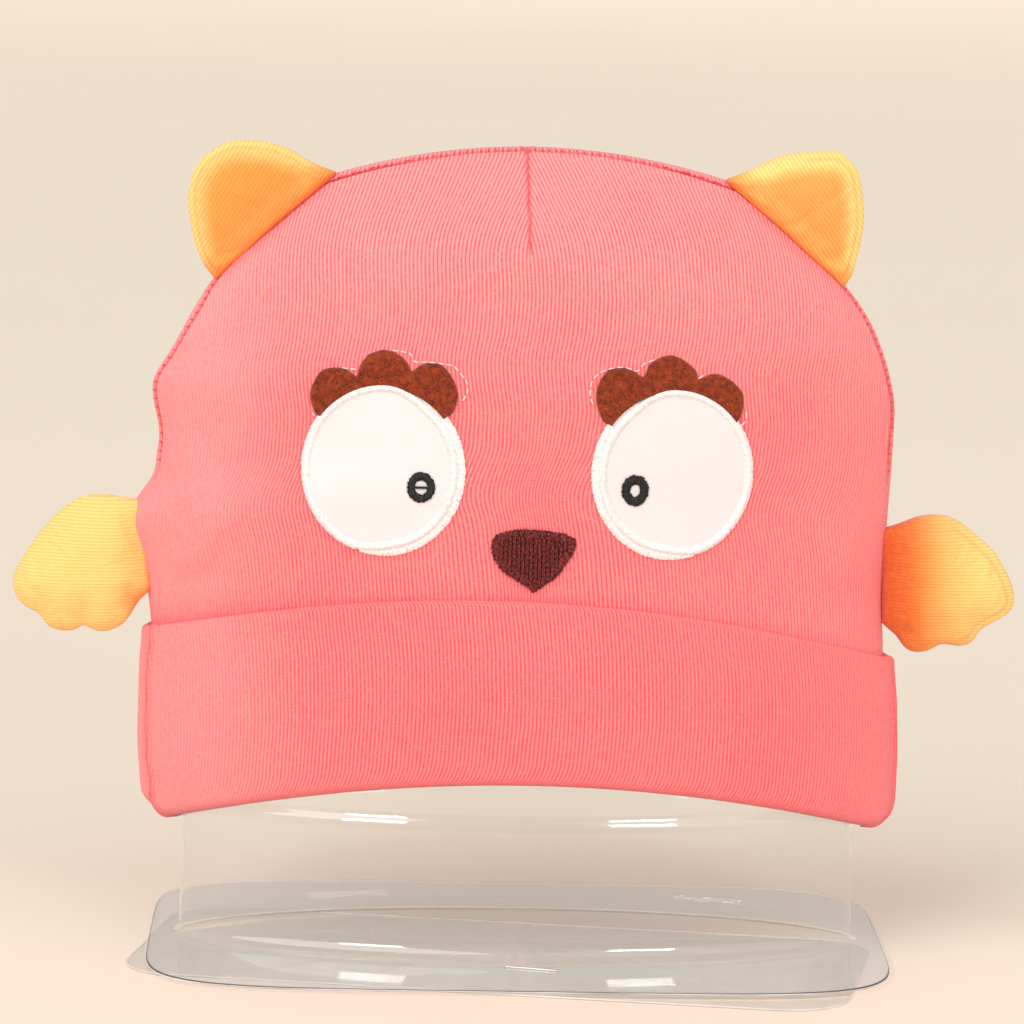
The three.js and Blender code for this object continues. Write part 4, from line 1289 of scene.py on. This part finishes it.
for name, side, edge_places in (("left", -1, brow_left_edge), ("right", 1, brow_right_edge)):
    edge = [(x * MM, z * MM) for x, z in curve_through(edge_places, 121)]
    if side > 0:
        edge = edge[::-1]
    edge = [
        (math.atan2(z - eye_z, x - side * eye_x), math.hypot(z - eye_z, x - side * eye_x))
        for x, z in (edge if side < 0 else edge)
    ]
    shape, grid = wrapped_grid(120, 16)
    for vert, around, up in grid:
        turn, outside = edge[round(around * 120)]
        a = eye_half_width - 1.0 * MM
        b = eye_half_height - 1.0 * MM
        inside = a * b / math.hypot(b * math.cos(turn), a * math.sin(turn))
        outside = max(inside + 0.6 * MM, outside)
        outside += noise.noise(Vector((turn * 30.0, side, 0.0))) * 0.15 * MM
        reach = blend(inside, outside, 1 - (1 - up) ** 1.4)
        edge_share = min(1, (outside - reach) / (1.0 * MM))
        end_share = min(1, min(around, 1 - around) * 40)
        lift = trim_gap + brow_wall * math.sqrt(1 - (1 - edge_share) ** 2) * end_share
        vert.co = on_face(side * eye_x + reach * math.cos(turn), eye_z + reach * math.sin(turn), lift)
    bmesh.ops.recalc_face_normals(shape, faces=shape.faces)
    shape.normal_update()
    if sum(f.normal.y for f in shape.faces) > 0:
        bmesh.ops.reverse_faces(shape, faces=shape.faces)
    brow = new_object("brow_" + name + "_felt", shape)
    brow.data.materials.append(felt)
    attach(brow, "root")
    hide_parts("brow_" + name)

# places of the loose stitches as x and z in mm
brow_stitches = (
    ((-33.9, 153.9), (-29.7, 153.2), (-28.4, 151.3), (-25.0, 151.3), (-19.5, 150.7), (-18.0, 149.7),
     (-15.5, 146.5), (-15.5, 144.1), (-16.7, 141.8)),
    ((-46.2, 149.2), (-42.6, 148.9)),
    ((-53.4, 137.8), (-52.9, 136.9)),
    ((15.6, 141.9), (14.8, 144.1), (15.5, 147.8), (18.4, 150.1), (23.0, 150.9), (26.5, 150.0),
     (28.2, 151.8), (30.9, 152.8)),
    ((41.6, 148.0), (43.3, 149.1)),
    ((53.9, 139.8), (53.8, 137.6), (52.1, 136.0)),
)
stitch_length = 1.5
stitch_gap = 0.6
stitch_runs = []
for stitch_places in brow_stitches:
    length = sum(math.dist(a, b) for a, b in zip(stitch_places, stitch_places[1:]))
    dashes = max(1, round(length / (stitch_length + stitch_gap)))
    places = curve_through(stitch_places, 5 * dashes)
    for n in range(dashes):
        stitch_runs.append([
            on_face(x * MM, z * MM, (0.5 if step in (0, 3) else 0.75) * MM)
            for step, (x, z) in enumerate(places[5 * n : 5 * n + 4])
        ])
loose_stitches = lay_strands("brow_tack_thread", stitch_runs, 0.15 * MM, white_thread)

# Nose: a rounded triangle embroidered in dark maroon thread, filled with upright chain stitches
# over a straight underlay and bound with satin stitch round its edge.
nose_edge_places = (
    (-7.1, 109.5), (-3.8, 110.4), (-0.1, 110.7), (3.5, 110.5), (7.1, 110.0), (9.9, 109.5),
    (11.8, 108.2), (11.8, 106.0), (10.7, 103.6), (7.3, 99.0), (2.6, 95.6), (1.8, 95.1), (0.2, 96.3),
    (-3.1, 98.4), (-5.8, 100.2), (-7.9, 103.3), (-8.6, 105.7), (-8.4, 108.1), (-7.1, 109.5),
)
nose_middle = (1.6 * MM, 104.2 * MM)
nose_edge = [(x * MM, z * MM) for x, z in curve_through(nose_edge_places, 150)]
maroon_thread = thread_material("maroon_thread", (0.26, 0.034, 0.030, 1), (0.030, 0.003, 0.004, 1))
nose_runs = []
for x, z in nose_edge[:-1]:
    out = Vector((x - nose_middle[0], z - nose_middle[1]))
    length = chance.uniform(1.5, 2.6) * MM / out.length
    start = 1 + chance.uniform(-0.02, 0.03)
    side_slip = chance.uniform(-0.25, 0.25) * MM
    run = []
    for step in range(4):
        share = start - length * step / 3
        place = (nose_middle[0] + out.x * share + side_slip * step / 3, nose_middle[1] + out.y * share)
        run.append(on_face(*place, 0.35 * MM + 0.5 * MM * math.sin(math.pi * (step + 0.5) / 4)))
    nose_runs.append(run)


def nose_span(x):
    """Lowest and highest z of the nose's edge at an x."""
    crossings = [
        blend(first[1], second[1], (x - first[0]) / (second[0] - first[0]))
        for first, second in zip(nose_edge, nose_edge[1:])
        if (first[0] - x) * (second[0] - x) < 0
    ]
    return (min(crossings), max(crossings)) if crossings else None


underlay_pitch = 0.36 * MM
chain_pitch = 1.05 * MM
column = nose_middle[0] - 12 * MM
while column < nose_middle[0] + 12 * MM:
    span = nose_span(column)
    if span and span[1] - span[0] > 1 * MM:
        places = [blend(span[0] + 0.4 * MM, span[1] - 0.4 * MM, n / 8) for n in range(9)]
        nose_runs.append([on_face(column, z, 0.3 * MM) for z in places])
    column += underlay_pitch
column = nose_middle[0] - 11.5 * chain_pitch
while column < nose_middle[0] + 12 * MM:
    span = nose_span(column)
    if span and span[1] - span[0] > 3.4 * MM:
        z = span[1] - 1.4 * MM
        while z > span[0] + 1.8 * MM:
            length = chance.uniform(1.3, 1.8) * MM
            for lean in (-0.34, 0.34):
                foot = (column + chance.uniform(-0.08, 0.08) * MM, z - length)
                head = (column + lean * MM + chance.uniform(-0.06, 0.06) * MM, z + 0.2 * MM)
                nose_runs.append([
                    on_face(blend(head[0], foot[0], share), blend(head[1], foot[1], share),
                            0.5 * MM + 0.35 * MM * math.sin(math.pi * (0.15 + 0.7 * share)))
                    for share in (0, 0.5, 1)
                ])
            z -= length * 0.9
    column += chain_pitch
nose = lay_strands("nose_thread", nose_runs, 0.2 * MM, maroon_thread)
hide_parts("nose")
